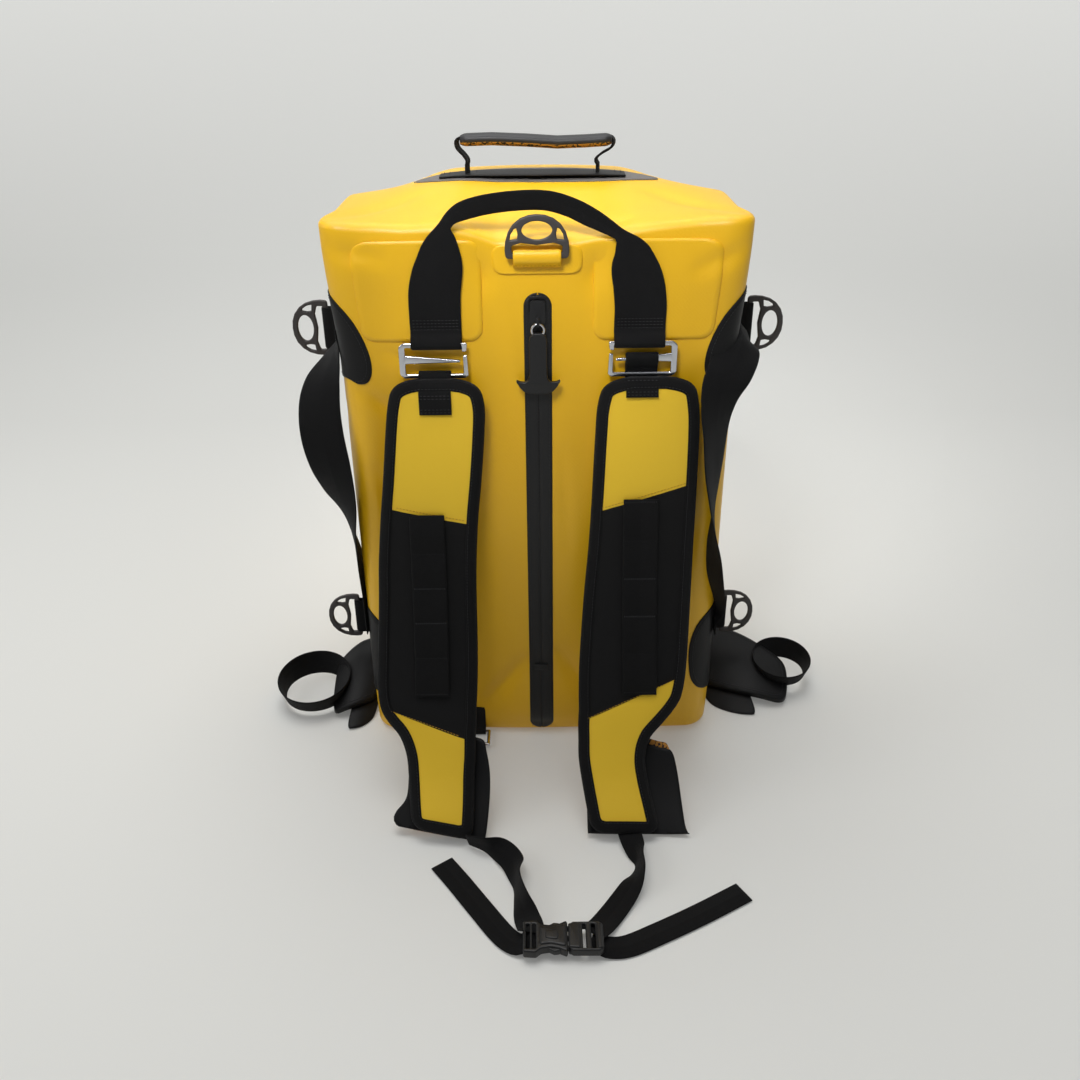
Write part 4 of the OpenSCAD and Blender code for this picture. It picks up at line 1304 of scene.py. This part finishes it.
STRAP_TURNS = {
    "left": [(-0.1530, 0.4330), (-0.1490, 0.4395), (-0.1442, 0.4430), (-0.1434, 0.4475), (-0.1454, 0.4508),
             (-0.1485, 0.4512), (-0.1514, 0.4480), (-0.1537, 0.4435), (-0.1590, 0.4395), (-0.1630, 0.4340)],
    "right": [(-0.1505, 0.4375), (-0.1452, 0.4425), (-0.1422, 0.4480), (-0.1424, 0.4580), (-0.1444, 0.4662),
              (-0.1478, 0.4680), (-0.1508, 0.4655), (-0.1496, 0.4590), (-0.1449, 0.4530), (-0.1438, 0.4475),
              (-0.1464, 0.4420), (-0.1540, 0.4418), (-0.1598, 0.4388), (-0.1630, 0.4335)],
}


def strap_webs(pad):
    """Webbing from the pad round the hook's lower bar and down over the pad's head."""
    x = pad.side * 0.102
    low = 0.412 if pad.side < 0 else 0.428
    turn = STRAP_TURNS[pad.label]
    rows = [(x, y, z, 1, 0, 0, 0.032) for y, z in turn]
    for z in np.linspace(0.4295, low, 4):
        v = float(pad.at_height(z))
        t = float(pad.thickness(np.array([0.102]), np.array([v]))[0])
        p = pad.place(0.102, v, t + 0.0022)[0]
        rows.append((x, p[1], p[2], 1, 0, 0, 0.032))
    name = "strap_web_" + pad.label
    body = "shoulder_strap_" + pad.label
    ribbon(name, rows, body, [name], step=0.002)
    lines = []
    for z in (low + 0.003, low + 0.006, low + 0.017, low + 0.020):
        v = float(pad.at_height(z))
        t = float(pad.thickness(np.array([0.102]), np.array([v]))[0])
        y = pad.place(0.102, v, t + 0.0031)[0][1]
        lines.append([(x + dx, y, z) for dx in np.linspace(-0.0135, 0.0135, 12)])
    stitch("strap_web_stitches_" + pad.label, lines, body)


WRAP_OUTLINES = {
    "left": [(0.066, 0.078), (0.105, 0.081), (0.138, 0.078), (0.142, 0.055), (0.144, 0.034), (0.154, 0.022),
             (0.156, 0.015), (0.146, 0.010), (0.118, 0.006), (0.078, 0.004), (0.063, 0.010), (0.057, 0.030),
             (0.056, 0.050), (0.060, 0.068)],
    "right": [(0.060, 0.078), (0.095, 0.076), (0.128, 0.069), (0.139, 0.066), (0.144, 0.050),
              (0.147, 0.028),
              (0.149, 0.016), (0.153, 0.0095), (0.148, 0.0060), (0.130, 0.008), (0.090, 0.006),
              (0.052, 0.004),
              (0.047, 0.012), (0.048, 0.050), (0.052, 0.070)],
}


LINING_RISE = {"left": 0.0, "right": 0.0085}


def grip_wraps(pad):
    """The carry grip wrapped behind the pad's lower end, with its patterned lining."""
    middle = 0.108 if pad.side < 0 else 0.098

    def behind(u, v, lift):
        curl = 1.7 * (np.asarray(u) - middle) ** 2
        z = np.asarray(v, float)
        return pad.place(u, pad.at_height(z), -0.0092 + curl - 0.0024 + np.asarray(lift))

    outline = soft_outline(WRAP_OUTLINES[pad.label], 0.003)
    name, body = "grip_wrap_" + pad.label, "shoulder_strap_" + pad.label
    applique(name, outline, behind, 0.0016, DARK_PATCH, body, [name], sink=0.0016)
    centre = outline.mean(0)
    lining = centre + (outline - centre) * 0.90 + [0.0, LINING_RISE[pad.label]]
    applique("grip_lining_" + pad.label, lining, lambda u, v, h: behind(u, v, h - 0.0024), 0.0006, LINING,
             body, sink=0.0004)


def lining_cloth():
    """Warm grip cloth with plain dark blots."""
    f = Finish("lining_cloth", tint(206, 140, 52), 0.6)
    p = f.place()
    blots = f.noise(p, 380.0, 0.0) > 0.56
    f.put("Base Color", f.blend(blots, tint(206, 140, 52), tint(36, 32, 28)))
    return f


LINING = lining_cloth().mat


def adjusters(pad):
    x = pad.side * 0.084
    line = [(-0.1705, 0.0064), (-0.1750, 0.0052), (-0.190, 0.0018), (-0.230, 0.0016), (-0.275, 0.0016),
            (-0.300, 0.0028), (-0.3165, 0.0056)]
    rows = [(x, y, z, 1, 0, 0, 0.0315) for y, z in line]
    obj = finish_mesh("adjuster_web_" + pad.label, ribbon_mesh("adjuster", rows), WEB, None,
                      ["adjuster_web_" + pad.label])
    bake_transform(obj, "bag", "shoulder_strap_" + pad.label, start=(x, -0.190, 0.002), end=(x, -0.314, 0.005))


def shoulder_straps():
    for label, side in SIDES:
        pad = Pad(label, side)
        pad_core(pad)
        binding(pad)
        seam_stitches(pad)
        ladder(pad)
        strap_webs(pad)
        grip_wraps(pad)
        adjusters(pad)


# ------------------------------------------------------------------ chest strap and buckle


def chest_strap():
    left = [(-0.078, -0.331, 0.0100, 0.1, -0.3, 0.95, 0.016),
            (-0.060, -0.341, 0.0125, 0.1, -0.2, 0.97, 0.023),
            (-0.042, -0.349, 0.0120, 0.45, 0.5, 0.75, 0.025),
            (-0.030, -0.364, 0.0105, 0.8, 0.3, 0.6, 0.025),
            (-0.0265, -0.388, 0.0132, 0.25, 0.1, 0.97, 0.025),
            (-0.0225, -0.410, 0.0118, 0.5, 0.0, 0.85, 0.025),
            (-0.0165, -0.430, 0.0085, 0.85, 0.3, 0.35, 0.025),
            (-0.0125, -0.4455, 0.0130, 0.7, 0.7, 0.0, 0.025),
            (-0.0125, -0.4520, 0.0130, 0.5, 0.85, 0.0, 0.024)]
    left_tail = [(-0.0076, -0.4570, 0.0085, 0, 1, 0, 0.025), (-0.0098, -0.4570, 0.0108, 0, 1, 0, 0.025),
                 (-0.0125, -0.4570, 0.0116, 0, 1, 0, 0.025), (-0.0180, -0.4575, 0.0070, 0, 1, 0, 0.025),
                 (-0.0260, -0.4560, 0.0030, 0.3, 0.9, 0, 0.025),
                 (-0.0390, -0.4440, 0.0016, 0.75, 0.66, 0, 0.025),
                 (-0.0620, -0.4120, 0.0016, 0.81, 0.58, 0, 0.025),
                 (-0.0850, -0.3790, 0.0016, 0.82, 0.57, 0, 0.025),
                 (-0.1030, -0.3545, 0.0016, 0.84, 0.54, 0, 0.025)]
    mesh = joined("chest_web_left", [ribbon_mesh("a", left), ribbon_mesh("b", left_tail)])
    finish_mesh("chest_web_left", mesh, WEB, "chest_strap", ["chest_web_left"])
    right = [(0.0880, -0.310, 0.0095, 1, 0, 0, 0.024), (0.0905, -0.328, 0.0100, 1, 0, 0.15, 0.024),
             (0.0940, -0.345, 0.0090, 0.8, 0.1, 0.5, 0.022),
             (0.0965, -0.360, 0.0105, 0.35, 0.1, 0.95, 0.021),
             (0.0930, -0.378, 0.0100, 0.65, 0.35, 0.65, 0.025),
             (0.0810, -0.399, 0.0050, 0.8, -0.45, 0.15, 0.025),
             (0.0660, -0.421, 0.0030, 0.8, -0.6, 0, 0.025),
             (0.0530, -0.440, 0.0060, 0.8, -0.6, 0, 0.025),
             (0.0440, -0.4520, 0.0128, 0.75, -0.65, 0, 0.024)]
    right_tail = [(0.0440, -0.4570, 0.0100, 0, 1, 0, 0.025), (0.0500, -0.4590, 0.0062, 0, 1, 0, 0.025),
                  (0.0600, -0.4608, 0.0026, 0.05, 1, 0, 0.025),
                  (0.0780, -0.4585, 0.0016, -0.25, 1, 0, 0.025),
                  (0.1080, -0.4445, 0.0016, -0.45, 0.9, 0, 0.025),
                  (0.1500, -0.4225, 0.0016, -0.48, 0.88, 0, 0.025),
                  (0.1960, -0.3960, 0.0016, -0.5, 0.87, 0, 0.025)]
    mesh = joined("chest_web_right", [ribbon_mesh("a", right), ribbon_mesh("b", right_tail)])
    finish_mesh("chest_web_right", mesh, WEB, "buckle_plug", ["chest_web_right"])


BUCKLE_AT = (-0.457, 0.0104)


def moulding(outlines, thick, bevel, z=0.0):
    """A flat part of the buckle, drawn in millimetres about its own middle line."""
    lines = [[(u / 1000, v / 1000) for u, v in line] for line in outlines]
    y0, z0 = BUCKLE_AT
    return plate_mesh("plate", lines, thick, bevel, lambda u, v, w: (u, v + y0, w + z0 + z))


def slot_hole(u0, u1, v0, v1, r=1.0):
    return rounded([(u0, v0), (u1, v0), (u1, v1), (u0, v1)], r, 4)


def buckle():
    half = [(-19.6, -17.2), (-7.6, -18.2), (-3.0, -14.0), (6.0, -12.4), (14.0, -14.2), (20.6, -17.4),
            (21.8, -14.5)]
    outline = half + [(u, -v) for u, v in half[::-1]]
    frame_part = moulding([rounded(outline, [2.5, 3, 6, 8, 6, 2, 2] + [2, 2, 6, 8, 6, 3, 2.5], 6),
                           slot_hole(-16.6, -13.4, -13.5, 13.5), slot_hole(-10.9, -7.9, -13.5, 13.5)],
                          0.0092, 0.0016)
    roof = moulding([rounded([(-4.5, -11), (6, -9.6), (20.5, -13.2), (20.5, 13.2), (6, 9.6), (-4.5, 11)],
                             [3, 8, 3, 3, 8, 3], 6)], 0.0118, 0.0022)
    ridge = moulding([rounded([(1, -4.2), (13, -5.6), (13, 5.6), (1, 4.2)], 2.4, 5)], 0.0134, 0.0011)
    mesh = joined("buckle_socket", [frame_part, roof, ridge])
    obj = finish_mesh("buckle_socket", mesh, BUCKLE, "chest_strap", ["buckle_socket"])
    crisp(obj)
    base = [(22.4, -13.2), (26.5, -16.4), (50.5, -16.6), (54.6, -13.6), (54.6, 13.6), (50.5, 16.6),
            (26.5, 16.4), (22.4, 13.2)]
    block = moulding([rounded(base, 2.2, 5), slot_hole(35.4, 38.4, -13.2, 13.2), slot_hole(43.6, 47.2,
                                                                                           -13.4, 13.4)],
                     0.0086, 0.0015)
    lip = moulding([rounded([(22.3, -13.6), (33.2, -14.6), (33.2, 14.6),
                             (22.3, 13.6)], 1.8, 5)], 0.0112, 0.0016)
    bar = moulding([rounded([(48.4, -15.4), (53.6, -14.0), (53.6, 14.0),
                             (48.4, 15.4)], 1.8, 5)], 0.0106, 0.0018)
    prongs = [moulding([rounded([(2.4, s * 12.6), (9, s * 16.3), (13.5, s * 15.8), (16.0, s * 14.2),
                                 (16.0, s * 11.5),
                                 (4, s * 11.0)], 1.6, 5)], 0.0060, 0.0012) for s in (-1, 1)]
    arms = [moulding([rounded([(9, s * 13.6), (27, s * 12.4), (27, s * 9.2),
                               (9, s * 9.8)], 1.0, 4)], 0.0050, 0.0009)
            for s in (-1, 1)]
    tongue = moulding([rounded([(2, -1.2), (27, -2.2), (27, 2.2), (2, 1.2)], 0.8, 4)], 0.0040, 0.0008)
    mesh = joined("buckle_plug", [block, lip, bar, *prongs, *arms, tongue])
    obj = finish_mesh("buckle_plug", mesh, BUCKLE, "buckle_plug", ["buckle_plug"])
    crisp(obj)


# ------------------------------------------------------------------ sides

UPPER_PATCH = [(0.212, 0.528), (0.194, 0.522), (0.180, 0.506), (0.171, 0.484), (0.166, 0.462),
               (0.1665, 0.446),
               (0.172, 0.437), (0.180, 0.436), (0.196, 0.440), (0.250, 0.434), (0.330, 0.431),
               (0.382, 0.434),
               (0.391, 0.448), (0.393, 0.480), (0.390, 0.515), (0.380, 0.527), (0.330, 0.530),
               (0.260, 0.530)]
LOWER_PATCH = [(0.212, 0.165), (0.192, 0.160), (0.178, 0.146), (0.171, 0.122), (0.171, 0.095),
               (0.176, 0.070),
               (0.190, 0.055), (0.215, 0.050), (0.300, 0.049), (0.380, 0.052), (0.391, 0.065),
               (0.393, 0.105),
               (0.390, 0.150), (0.380, 0.163), (0.330, 0.166), (0.260, 0.166)]


def side_patches():
    for label, side in SIDES:
        for level, outline in (("upper", UPPER_PATCH), ("lower", LOWER_PATCH)):
            ring_z = RING_Z[level]
            name = f"{level}_patch_{label}"
            line = soft_outline([(side * s, z) for s, z in outline], 0.0035)
            applique(name, line, on_wall, 0.0013, DARK_PATCH, "bag", [name], rings=22)
            turn = [(0.1995, -0.0205), (0.2080, -0.0235), (0.2190, -0.0262), (0.2262, -0.0261),
                    (0.2306, -0.0280), (0.2316, -0.0300), (0.2306, -0.0320), (0.2262, -0.0339),
                    (0.2190, -0.0338), (0.2080, -0.0365), (0.1995, -0.0395)]
            rows = [(side * x, y, ring_z, 0, 0, 1, 0.0452) for x, y in turn]
            ribbon(f"{level}_ring_tab_{label}", rows, "bag", thick=0.0014, step=0.0016)
            lines = []
            for s in (0.262, 0.333):
                lines.append(on_wall(np.full(30, side * s), np.linspace(ring_z - 0.02, ring_z + 0.02, 30),
                                     0.0016))
            rim = np.array(line)
            centre = rim.mean(0)
            inner = centre + (rim - centre) * [0.965, 0.93]
            lines.append(on_wall(np.r_[inner[:, 0], inner[:1, 0]], np.r_[inner[:, 1], inner[:1, 1]],
                                 0.0015))
            stitch(f"{level}_patch_stitches_{label}", lines, "bag")


# Each strap's middle line and the direction across it: the right one lies in front of the corner
STRAP_LINES = {
    "left": [(0.2012, -0.100, 0.486, 0, 1, 0), (0.2030, -0.101, 0.470, 0.1, 1, 0),
             (0.2120, -0.107, 0.450, 0.5, 0.85, 0), (0.2210, -0.116, 0.430, 0.85, 0.5, 0),
             (0.2250, -0.125, 0.408, 1, 0.25, 0), (0.2240, -0.133, 0.380, 1, 0.1, 0),
             (0.2190, -0.136, 0.348, 1, 0.2, 0), (0.2130, -0.132, 0.312, 0.85, 0.55, 0),
             (0.2080, -0.122, 0.272, 0.4, 0.9, 0), (0.2040, -0.110, 0.225, 0.1, 1, 0),
             (0.2015, -0.102, 0.180, 0, 1, 0), (0.2012, -0.100, 0.128, 0, 1, 0)],
    "right": [(0.2016, -0.103, 0.496, 0, 1, 0), (0.2022, -0.105, 0.488, 0.1, 1, 0),
              (0.2045, -0.113, 0.480, 0.35, 0.95, 0),
              (0.2010, -0.130, 0.468, 0.85, 0.55, 0.1), (0.1910, -0.147, 0.452, 1, 0.25, 0.1),
              (0.1825, -0.155, 0.436, 1, 0.30, 0.05), (0.1785, -0.1585, 0.415, 0.85, 0.55, 0),
              (0.1780, -0.1600, 0.390, 0.68, 0.75, 0), (0.1790, -0.1600, 0.350, 0.52, 0.85, 0),
              (0.1815, -0.1585, 0.315, 0.32, 0.95, 0), (0.1840, -0.1550, 0.285, 0.10, 1, 0),
              (0.1860, -0.1500, 0.250, -0.25, 0.95, 0), (0.1885, -0.1400, 0.210, -0.48, 0.87, 0),
              (0.1945, -0.1240, 0.178, -0.45, 0.88, 0), (0.2000, -0.1100, 0.158, -0.15, 0.98, 0),
              (0.2015, -0.1045, 0.143, 0, 1, 0), (0.2015, -0.1040, 0.124, 0, 1, 0)],
}


def side_straps():
    """Wide webbing sewn flat at both ends and twisted to face forward between them."""
    for label, side in SIDES:
        rows = [(side * x, y, z, side * wx, wy, wz, 0.046) for x, y, z, wx, wy, wz in STRAP_LINES[label]]
        name = "side_strap_" + label
        ribbon(name, rows, "bag", [name])
        lines = []
        for z in (0.476, 0.480, 0.134, 0.138):
            lines.append([(side * 0.2024, y, z) for y in np.linspace(-0.119, -0.081, 14)])
        stitch("side_strap_stitches_" + label, lines, "bag")


# Corners of each wing: at the wall in front and behind, at the tip in front and behind
WING_CORNERS = {
    "left": [(0.2030, -0.104, 0.010), (0.2030, 0.000, 0.046), (0.2560, -0.118, 0.0055),
             (0.2620, -0.026, 0.020)],
    "right": [(0.2030, -0.080, 0.009), (0.2030, 0.030, 0.046), (0.3020, -0.106, 0.0055),
              (0.3140, -0.036, 0.020)],
}
# Each wing's loop: middle x, y, z, reach across, reach in depth, width of the band
WING_LOOPS = {
    "left": (0.2830, -0.071, 0.0205, 0.0410, 0.0430, 0.0300),
    "right": (0.3040, -0.046, 0.0260, 0.0330, 0.0330, 0.0270),
}
WING_OUTLINE = [(0.02, 0.14), (0.18, 0.05), (0.45, 0.0), (0.71, 0.0), (0.90, 0.03), (0.98, 0.16),
                (1.0, 0.5),
                (0.98, 0.84), (0.90, 0.97), (0.71, 1.0), (0.45, 1.0), (0.18, 0.95), (0.03, 0.84),
                (0.0, 0.5)]
UNDER_OUTLINE = [(-0.05, 0.30), (0.06, -0.10), (0.28, -0.24), (0.52, -0.27), (0.60, -0.22), (0.56, 0.05),
                 (0.50, 0.40), (0.20, 0.55), (0.0, 0.52)]


def side_wings():
    """Padded wings at the bag's lower corners, each with a standing loop of webbing."""
    for label, side in SIDES:
        front_wall, back_wall, front_tip, back_tip = np.array(WING_CORNERS[label])
        wide = np.linalg.norm(back_wall - front_wall)
        length = np.linalg.norm(front_tip - front_wall)

        def flat(u, v, lift, side=side):
            s, t = np.asarray(u, float) / length, np.asarray(v, float) / wide
            s, t = np.broadcast_arrays(s, t)
            s, t = s.reshape(-1, 1), t.reshape(-1, 1)
            near, far = front_wall + (front_tip - front_wall) * s, back_wall + (back_tip - back_wall) * s
            spot = near + (far - near) * t
            bow = 0.008 * np.sin(math.pi * np.clip(s, 0, 1)) + 0.003 * np.clip(1 - (2 * t - 1) ** 2, 0, 1)
            spot[:, 2] = np.maximum(spot[:, 2] + bow[:, 0] + np.asarray(lift), 0.0009)
            return spot * [side, 1, 1]

        name = "side_wing_" + label
        outline = soft_outline([(s * length, t * wide) for s, t in WING_OUTLINE], 0.004)
        wing = applique(name, outline, flat, 0.0028, DARK_PATCH, name, [name], sink=0.0028)
        under = soft_outline([(s * length, t * wide) for s, t in UNDER_OUTLINE], 0.004)
        applique(name + "_flap", under, lambda u, v, h: flat(u, v, h - 0.0062), 0.0012, DARK_PATCH, name,
                 sink=0.0008)
        inner = outline.mean(0) + (outline - outline.mean(0)) * 0.9
        seam = flat(inner[:, 0], inner[:, 1], 0.0034)
        stitch(name + "_stitches", [np.vstack([seam, seam[:1]])], name)
        mid_x, mid_y, mid_z, across, deep, band = WING_LOOPS[label]
        rows = []
        for angle in np.linspace(-0.6, 2 * math.pi - 0.5, 44):
            c, k = math.cos(angle), math.sin(angle)
            rows.append((side * (mid_x + across * c), mid_y + deep * k, mid_z + 0.0035 * k,
                         side * 0.25 * c, -0.15 + 0.42 * k, 1, band * (0.93 + 0.07 * k)))
        loop = "wing_loop_" + label
        ribbon(loop, rows, name, [loop], step=0.003)


# ------------------------------------------------------------------ top end


def top_end():
    spine = np.sin(np.linspace(-0.5, 0.5, 60) * math.pi)
    upper = [(0.127 * t, 0.024 * (1 - abs(t) ** 3.4) ** 0.6) for t in spine]
    lower = [(0.127 * t, -0.024 * (1 - abs(t) ** 3.4) ** 0.6) for t in spine[::-1]]
    outline = smooth_closed(upper + lower[1:-1], 0.004)
    applique("top_patch", outline, on_top, 0.0013, GREY_PATCH, "bag", ["top_patch"],
             rings=20)
    x = np.linspace(-0.100, 0.092, 60)
    strip = on_top(x, 0.000, 0.0022)
    wide = np.interp(np.abs(x), [0.0, 0.05, 0.1], [0.050, 0.042, 0.026])
    rows = np.column_stack([strip, np.tile([0, 1, 0], (60, 1)), wide])
    ribbon("top_anchor_web", rows, "bag", material=DARK_PATCH)
    lines = []
    for a in (-0.096, -0.090, -0.062, 0.060, 0.082, 0.088):
        lines.append(on_top(np.full(14, a), np.linspace(-0.0100, 0.0100, 14), 0.0031))
    stitch("top_anchor_stitches", lines, "bag")


def top_grip():
    """Wavy moulded grip on two thin straps."""
    xs = np.r_[np.linspace(-0.0775, -0.071, 6), np.linspace(-0.068, 0.068, 70), np.linspace(0.071, 0.0775,
                                                                                            6)]
    angles = np.linspace(0, 2 * math.pi, 32, endpoint=False)
    rings, uv = [], []
    for x in xs:
        rise = np.interp(x, [-0.0775, -0.045, -0.01, 0.022, 0.05, 0.0775],
                         [0.0012, 0.0020, 0.0004, -0.0018, -0.0010, 0.0004])
        end = 1 - max(0.0, (abs(x) - 0.070) / 0.0075) ** 2 * 0.35
        wide, deep = 0.0118 * end, 0.0056 * end
        c, s = np.cos(angles), np.sin(angles)
        y = wide * np.sign(c) * np.abs(c) ** 0.8
        z = deep * np.sign(s) * np.abs(s) ** 0.8 - 0.0012 * (1 - (y / 0.0118) ** 2) * (s < 0)
        rings.append(np.column_stack([np.full(32, x), y, 0.6478 + rise + z]))
        uv.append(np.column_stack([np.where(s < -0.25, 1.0, 0.0), np.full(32, x)]))
    mesh = raw_mesh("top_grip", *loft(rings, uv))
    finish_mesh("top_grip", mesh, GRIP, "top_handle", ["top_grip"])
    left = [(-0.0690, 0.6500), (-0.0765, 0.6510), (-0.0810, 0.6475), (-0.0800, 0.6410), (-0.0740, 0.6345),
            (-0.0705, 0.6290), (-0.0712, 0.6240)]
    right = [(0.0690, 0.6495), (0.0765, 0.6502), (0.0800, 0.6460), (0.0775, 0.6400), (0.0680, 0.6345),
             (0.0620, 0.6290), (0.0640, 0.6240)]
    legs = [ribbon_mesh("leg", [(x, 0, z, 0.22, 1, 0, 0.0125) for x, z in line], 0.0024, 0.002)
            for line in (left, right)]
    mesh = joined("top_handle_web", legs)
    finish_mesh("top_handle_web", mesh, WEB, "top_handle", ["top_handle_web"])
    roots = [ribbon_mesh("root", [(x, 0, z, 0.22, 1, 0, 0.0125) for z in (0.6110, 0.6180, 0.6252)], 0.0024,
                         0.002)
             for x in (-0.0711, 0.0638)]
    finish_mesh("top_handle_roots", joined("top_handle_roots", roots), WEB, "bag")


# ------------------------------------------------------------------ studio


def studio():
    bend = [(2.6 + 4.0 * math.sin(a), 4.0 - 4.0 * math.cos(a)) for a in np.linspace(0, math.pi / 2, 24)]
    line = [(-9.0, 0.0), *bend, (6.6, 9.0)]
    verts = [(x, y, z) for y, z in line for x in (-14.0, 14.0)]
    faces = [(2 * i, 2 * i + 1, 2 * i + 3, 2 * i + 2) for i in range(len(line) - 1)]
    mesh = raw_mesh("floor", verts, faces)
    for face in mesh.polygons:
        face.use_smooth = True
    floor = bpy.data.objects.new("floor", mesh)
    bpy.context.scene.collection.objects.link(floor)
    # The floor and its curved backdrop glow with painted light: an emission that rises from dim near the bag
    # to bright far behind it, standing in for lamp light on the backdrop and adding bounce onto the bag.
    paint = Finish("floor_with_painted_glow", tint(214, 214, 210), 0.9, specular_ior_level=0.1, emission_strength=1.0)
    _, depth, _ = paint.split(paint.place())
    away = ((depth - 0.9) / 4.1).most(0.0).least(1.0)
    paint.put("Emission Color", paint.blend(away, (0.13, 0.13, 0.127), (0.50, 0.502, 0.488)))
    floor.data.materials.append(paint.mat)
    world = bpy.context.scene.world or bpy.data.worlds.new("studio")
    bpy.context.scene.world = world
    world.use_nodes = True
    back = world.node_tree.nodes["Background"]
    back.inputs["Color"].default_value = (0.96, 0.98, 1.0, 1)
    back.inputs["Strength"].default_value = 0.22
    for name, place, size, power, spread, aim in (
        ("overhead", (-0.25, 0.35, 2.9), 2.6, 36, 150, (0, 0.0, 0.4)),
        ("top_front", (-0.20, -0.80, 1.30), 0.35, 0.75, 42, (0, -0.10, 0.66)),
        ("left_edge", (-2.2, -0.5, 1.5), 1.2, 4, 120, (-0.1, -0.1, 0.4)),
    ):
        light = bpy.data.lights.new(name, "AREA")
        light.shape, light.size, light.energy = "DISK", size, power
        light.spread = math.radians(spread)
        lamp = bpy.data.objects.new(name, light)
        lamp.location = place
        lamp.rotation_euler = (Vector(aim) - Vector(place)).to_track_quat("-Z", "Y").to_euler()
        bpy.context.scene.collection.objects.link(lamp)


def camera():
    view = bpy.data.cameras.new("camera")
    view.sensor_width = 36
    view.lens = 1009 / 1080 * 36
    view.dof.use_dof = False
    holder = bpy.data.objects.new("camera", view)
    bpy.context.scene.collection.objects.link(holder)
    holder.location = (0, -1.105, 0.771)
    tilt = Vector((0, math.cos(math.radians(28)), -math.sin(math.radians(28)))).to_track_quat("-Z", "Y")
    roll = tilt.to_matrix().to_4x4() @ Matrix.Rotation(math.radians(-0.6), 4, "Z")
    holder.rotation_euler = roll.to_euler()
    bpy.context.scene.camera = holder
    bpy.context.scene.view_settings.view_transform = "Standard"


def paint_board():
    """A plain finish for the stiffening board inside the back, which stays as it is."""
    NODES["back_board"].data.materials.clear()
    NODES["back_board"].data.materials.append(BOARD)


bag_shell()
handle_patches()
front_ring_mount()
zip_strip()
arch_handle()
hook_loops()
fittings()
shoulder_straps()
chest_strap()
buckle()
side_patches()
side_straps()
side_wings()
top_end()
top_grip()
paint_board()
studio()
camera()
